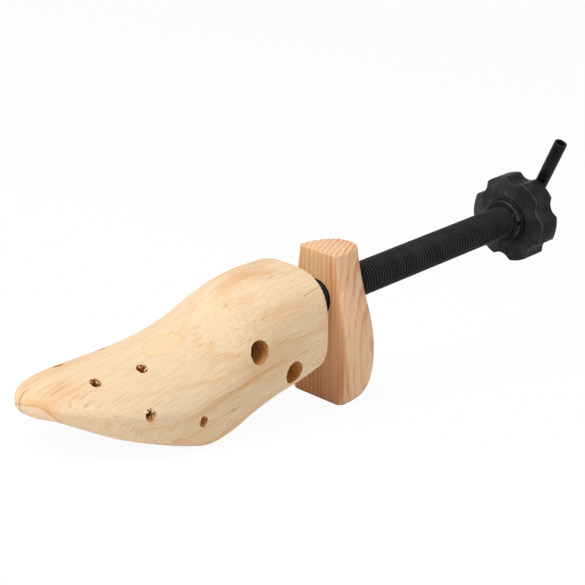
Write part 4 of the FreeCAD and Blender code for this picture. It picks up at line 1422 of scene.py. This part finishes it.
def lock_nut(size):
    """The round nut in front of the hand wheel, with its notch."""
    front = size.place - size.boss_length - size.lock_length
    long, outer = size.lock_length, size.lock_radius
    profile = round_edged(long, size.lock_bore, outer, size.lock_edge)
    profile += [(long, size.lock_bore)]
    nut = turned_piece("lock_nut", profile, LOCK_SEGMENTS, FINISH["plastic"], (front, 0, 0))
    low, high, half = outer - size.lock_notch, outer + OVERRUN, size.lock_notch_half
    turn = Matrix.Rotation(size.lock_turn, 3, "X")
    rings = [[turn @ Vector((x, y, z)) for y, z in ((-half, low), (half, low), (half, high), (-half, high))]
             for x in (front - OVERRUN, front + long + OVERRUN)]
    cut_away(nut, [solid("notch", rings, FINISH["plastic"])])
    finish_shading(nut, PLASTIC_SHARP)
    # Painted highlight round the ring's rim.
    mark_painted_light(nut, lambda p: LOCK_HIGHLIGHT * fade(math.hypot(p.y, p.z) - outer, HIGHLIGHT_REACH))
    return nut


class STRETCHER_OT_wheel(Operator):
    """Builds the lobed hand wheel and the lock ring in front of it"""
    bl_idname = "stretcher.wheel"
    bl_label = "Hand wheel and lock ring"

    def execute(self, context):
        size = in_mm(context.scene.stretcher_wheel)
        hand_in(hand_wheel(size), "knob", "screw")
        hand_in(lock_nut(size), "lock_ring", "screw")
        return {"FINISHED"}


# Lever, springs and hardware


class STRETCHER_OT_lever(Operator):
    """Builds the lever's open-ended sleeve"""
    bl_idname = "stretcher.lever"
    bl_label = "Lever sleeve"

    def execute(self, context):
        size = in_mm(context.scene.stretcher_lever)
        long = size.reach - size.start
        profile = round_edged(long, size.bore, size.radius, size.edge)
        profile += [(long, size.bore + size.mouth), (long - size.mouth, size.bore)]
        way = Vector((0, -math.sin(size.turn), math.cos(size.turn)))
        foot = Vector((size.place, 0, 0)) + way * size.start
        sleeve = turned_piece("lever_tube", profile, SLEEVE_SEGMENTS, FINISH["sleeve"], foot, way, (1, 0, 0))
        finish_shading(sleeve, PLASTIC_SHARP)
        # Painted highlight round the sleeve's open end.
        mark_painted_light(sleeve, lambda p: LEVER_HIGHLIGHT * fade((p - foot).dot(way) - long, HIGHLIGHT_REACH))
        hand_in(sleeve, "lever_sleeve", "crank")
        return {"FINISHED"}


class STRETCHER_OT_springs(Operator):
    """Winds the closing springs, each in two halves, one on each side of the split"""
    bl_idname = "stretcher.springs"
    bl_label = "Closing springs"

    def execute(self, context):
        size = in_mm(context.scene.stretcher_spring)
        for node, (place, level) in zip(("front_spring", "rear_spring"), CROSS_BORES):
            centre = Vector((place, 0, level)) * MM
            for body, side in SIDES.items():
                matrix = Matrix.Translation(centre) @ Matrix.Rotation(-side * QUARTER_TURN, 4, "X")
                coil = grown(f"{node}_{body}", "coil", matrix, radius=size.mean * MM,
                             wire_radius=size.wire * MM, turns=size.turns, length=size.reach * MM,
                             steps=SPRING_STEPS, sides=WIRE_SIDES, finish=FINISH["steel"])
                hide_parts(node)
                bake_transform(coil)
        return {"FINISHED"}


class STRETCHER_OT_hardware(Operator):
    """Finishes the inner hardware, which keeps the shape of its solids"""
    bl_idname = "stretcher.hardware"
    bl_label = "Inner hardware"

    def execute(self, context):
        finishes = {
            "steel": ("left_ramp", "right_ramp", "left_ramp_screws", "right_ramp_screws", "guide_pin",
                      "keeper_plate", "tube_clip", "spreader_rod", "crank_washer", "spreader_wedge"),
            "brass": ("rod_bushes",),
            "plastic": ("heel_nut",),
            "plug": ("left_spring_plugs", "right_spring_plugs"),
        }
        for finish, nodes in finishes.items():
            for node in nodes:
                mesh = frame["nodes"][node].data
                mesh.materials.clear()
                mesh.materials.append(FINISH[finish])
        return {"FINISHED"}


# Stage

# The floor's reach and the camera's range in metres, and the camera's sensor in millimetres.
FLOOR_REACH = 6.0
CLIP_END = 20.0
SENSOR_WIDTH = 36.0
FLOOR_GREY = 0.9
# The camera in the screw's frame: its place in millimetres, and the ways to its right, up and ahead.
CAMERA_PLACE = Vector((-644.75, -627.27, 384.67))
CAMERA_RIGHT = Vector((0.69575, -0.71828, 0.0))
CAMERA_UP = Vector((0.27670, 0.26802, 0.92282))
CAMERA_AHEAD = Vector((0.66284, 0.64205, -0.38523))
# Lamps in metres: place and size. Both look at the middle of the stretcher.
KEY_PLACE = Vector((-1.25, -0.02, 1.48))
KEY_SIZE = 1.1
FILL_PLACE = Vector((0.7, -1.1, 0.8))
FILL_SIZE = 0.9
LAMP_TARGET = Vector((0.0, 0.0, 0.05))


def seen_ray(tree):
    """1 for what the camera, a gloss or clear stuff sees, and 0 for light."""
    rays = tree.nodes.new("ShaderNodeLightPath")
    w = Wiring(tree)
    seen = w.math("MAXIMUM", rays.outputs["Is Camera Ray"], rays.outputs["Is Glossy Ray"])
    return w.math("MAXIMUM", seen, rays.outputs["Is Transmission Ray"])


def white_floor(size):
    """A floor that reads as white and keeps a faint shadow."""
    material = bpy.data.materials.new("white floor")
    material.use_nodes = True
    tree = material.node_tree
    tree.nodes.clear()
    matte = tree.nodes.new("ShaderNodeBsdfDiffuse")
    matte.inputs["Color"].default_value = opaque([FLOOR_GREY] * 3)
    white = tree.nodes.new("ShaderNodeEmission")
    both = tree.nodes.new("ShaderNodeMixShader")
    link(tree, Wiring(tree).math("MULTIPLY", seen_ray(tree), size.white), both.inputs[0])
    link(tree, matte.outputs[0], both.inputs[1])
    link(tree, white.outputs[0], both.inputs[2])
    link(tree, both.outputs[0], tree.nodes.new("ShaderNodeOutputMaterial").inputs["Surface"])
    mesh = bpy.data.meshes.new("floor")
    corners = [(x * FLOOR_REACH, y * FLOOR_REACH, 0) for x, y in ((-1, -1), (1, -1), (1, 1), (-1, 1))]
    mesh.from_pydata(corners, [], [(0, 1, 2, 3)])
    mesh.materials.append(material)
    return bpy.data.objects.new("floor", mesh)


def white_studio(size):
    """A world that is white where it is seen and dimmer as light."""
    world = bpy.data.worlds.new("white studio")
    world.use_nodes = True
    tree = world.node_tree
    sky = tree.nodes["Background"]
    sky.inputs["Color"].default_value = opaque([1.0] * 3)
    strength = Wiring(tree).math("MULTIPLY_ADD", seen_ray(tree), 1.0 - size.ambient, size.ambient)
    link(tree, strength, sky.inputs["Strength"])
    return world


def lamp(name, place, power, extent):
    """A square lamp that looks at the stretcher."""
    light = bpy.data.lights.new(name, "AREA")
    light.energy = power
    light.size = extent
    holder = bpy.data.objects.new(name, light)
    holder.location = place
    holder.rotation_euler = (LAMP_TARGET - place).to_track_quat("-Z", "Y").to_euler()
    return holder


def photo_camera(size):
    """The camera at the photo's place."""
    lens = bpy.data.cameras.new("camera")
    lens.lens = size.lens
    lens.sensor_width = SENSOR_WIDTH
    lens.clip_end = CLIP_END
    camera = bpy.data.objects.new("camera", lens)
    turn = Matrix((CAMERA_RIGHT, CAMERA_UP, -CAMERA_AHEAD)).transposed().to_4x4()
    camera.matrix_world = SCREW @ Matrix.Translation(CAMERA_PLACE * MM) @ turn
    return camera


class STRETCHER_OT_stage(Operator):
    """Sets the floor, the lamps, the sky and the camera"""
    bl_idname = "stretcher.stage"
    bl_label = "Stage"

    def execute(self, context):
        scene = context.scene
        size = scene.stretcher_stage
        scene.view_settings.view_transform = "Standard"
        floor = white_floor(size)
        camera = photo_camera(size)
        scene.world = white_studio(size)
        for thing in (floor, camera, lamp("key", KEY_PLACE, size.key, KEY_SIZE),
                      lamp("fill", FILL_PLACE, size.fill, FILL_SIZE)):
            scene.collection.objects.link(thing)
        scene.camera = camera
        return {"FINISHED"}


class STRETCHER_PT_panel(Panel):
    """Lists the settings and the operators in the sidebar"""
    bl_idname = "STRETCHER_PT_panel"
    bl_label = "Shoe stretcher"
    bl_space_type = "VIEW_3D"
    bl_region_type = "UI"
    bl_category = "Stretcher"

    def draw(self, context):
        for label, settings in SETTINGS.items():
            group = getattr(context.scene, label)
            box = self.layout.box()
            for name in settings.__annotations__:
                box.prop(group, name)
        for operator in OPERATORS:
            self.layout.operator(operator.bl_idname)


SETTINGS = {
    "stretcher_wood": WoodSettings,
    "stretcher_forepart": ForepartSettings,
    "stretcher_room": RoomSettings,
    "stretcher_heel": HeelSettings,
    "stretcher_screw": ScrewSettings,
    "stretcher_wheel": WheelSettings,
    "stretcher_lever": LeverSettings,
    "stretcher_spring": SpringSettings,
    "stretcher_stage": StageSettings,
}
OPERATORS = (
    STRETCHER_OT_forepart,
    STRETCHER_OT_heel_block,
    STRETCHER_OT_screw,
    STRETCHER_OT_wheel,
    STRETCHER_OT_lever,
    STRETCHER_OT_springs,
    STRETCHER_OT_hardware,
    STRETCHER_OT_stage,
)
FINISH = {}
TREES = {}


def register():
    """Registers the settings, the operators and the panel."""
    for kind in (*SETTINGS.values(), *OPERATORS, STRETCHER_PT_panel):
        bpy.utils.register_class(kind)
    for label, settings in SETTINGS.items():
        setattr(bpy.types.Scene, label, PointerProperty(type=settings))


def unregister():
    """Takes them away again."""
    for label in SETTINGS:
        delattr(bpy.types.Scene, label)
    for kind in reversed((*SETTINGS.values(), *OPERATORS, STRETCHER_PT_panel)):
        bpy.utils.unregister_class(kind)


def main():
    """Builds everything in order."""
    register()
    FINISH.update(make_materials(bpy.context.scene.stretcher_wood))
    TREES.update(coil=coil_tree(), splinters=splinter_tree())
    for operator in OPERATORS:
        group, name = operator.bl_idname.split(".")
        getattr(getattr(bpy.ops, group), name)()
    bpy.context.view_layer.update()


if __name__ == "__main__":
    main()
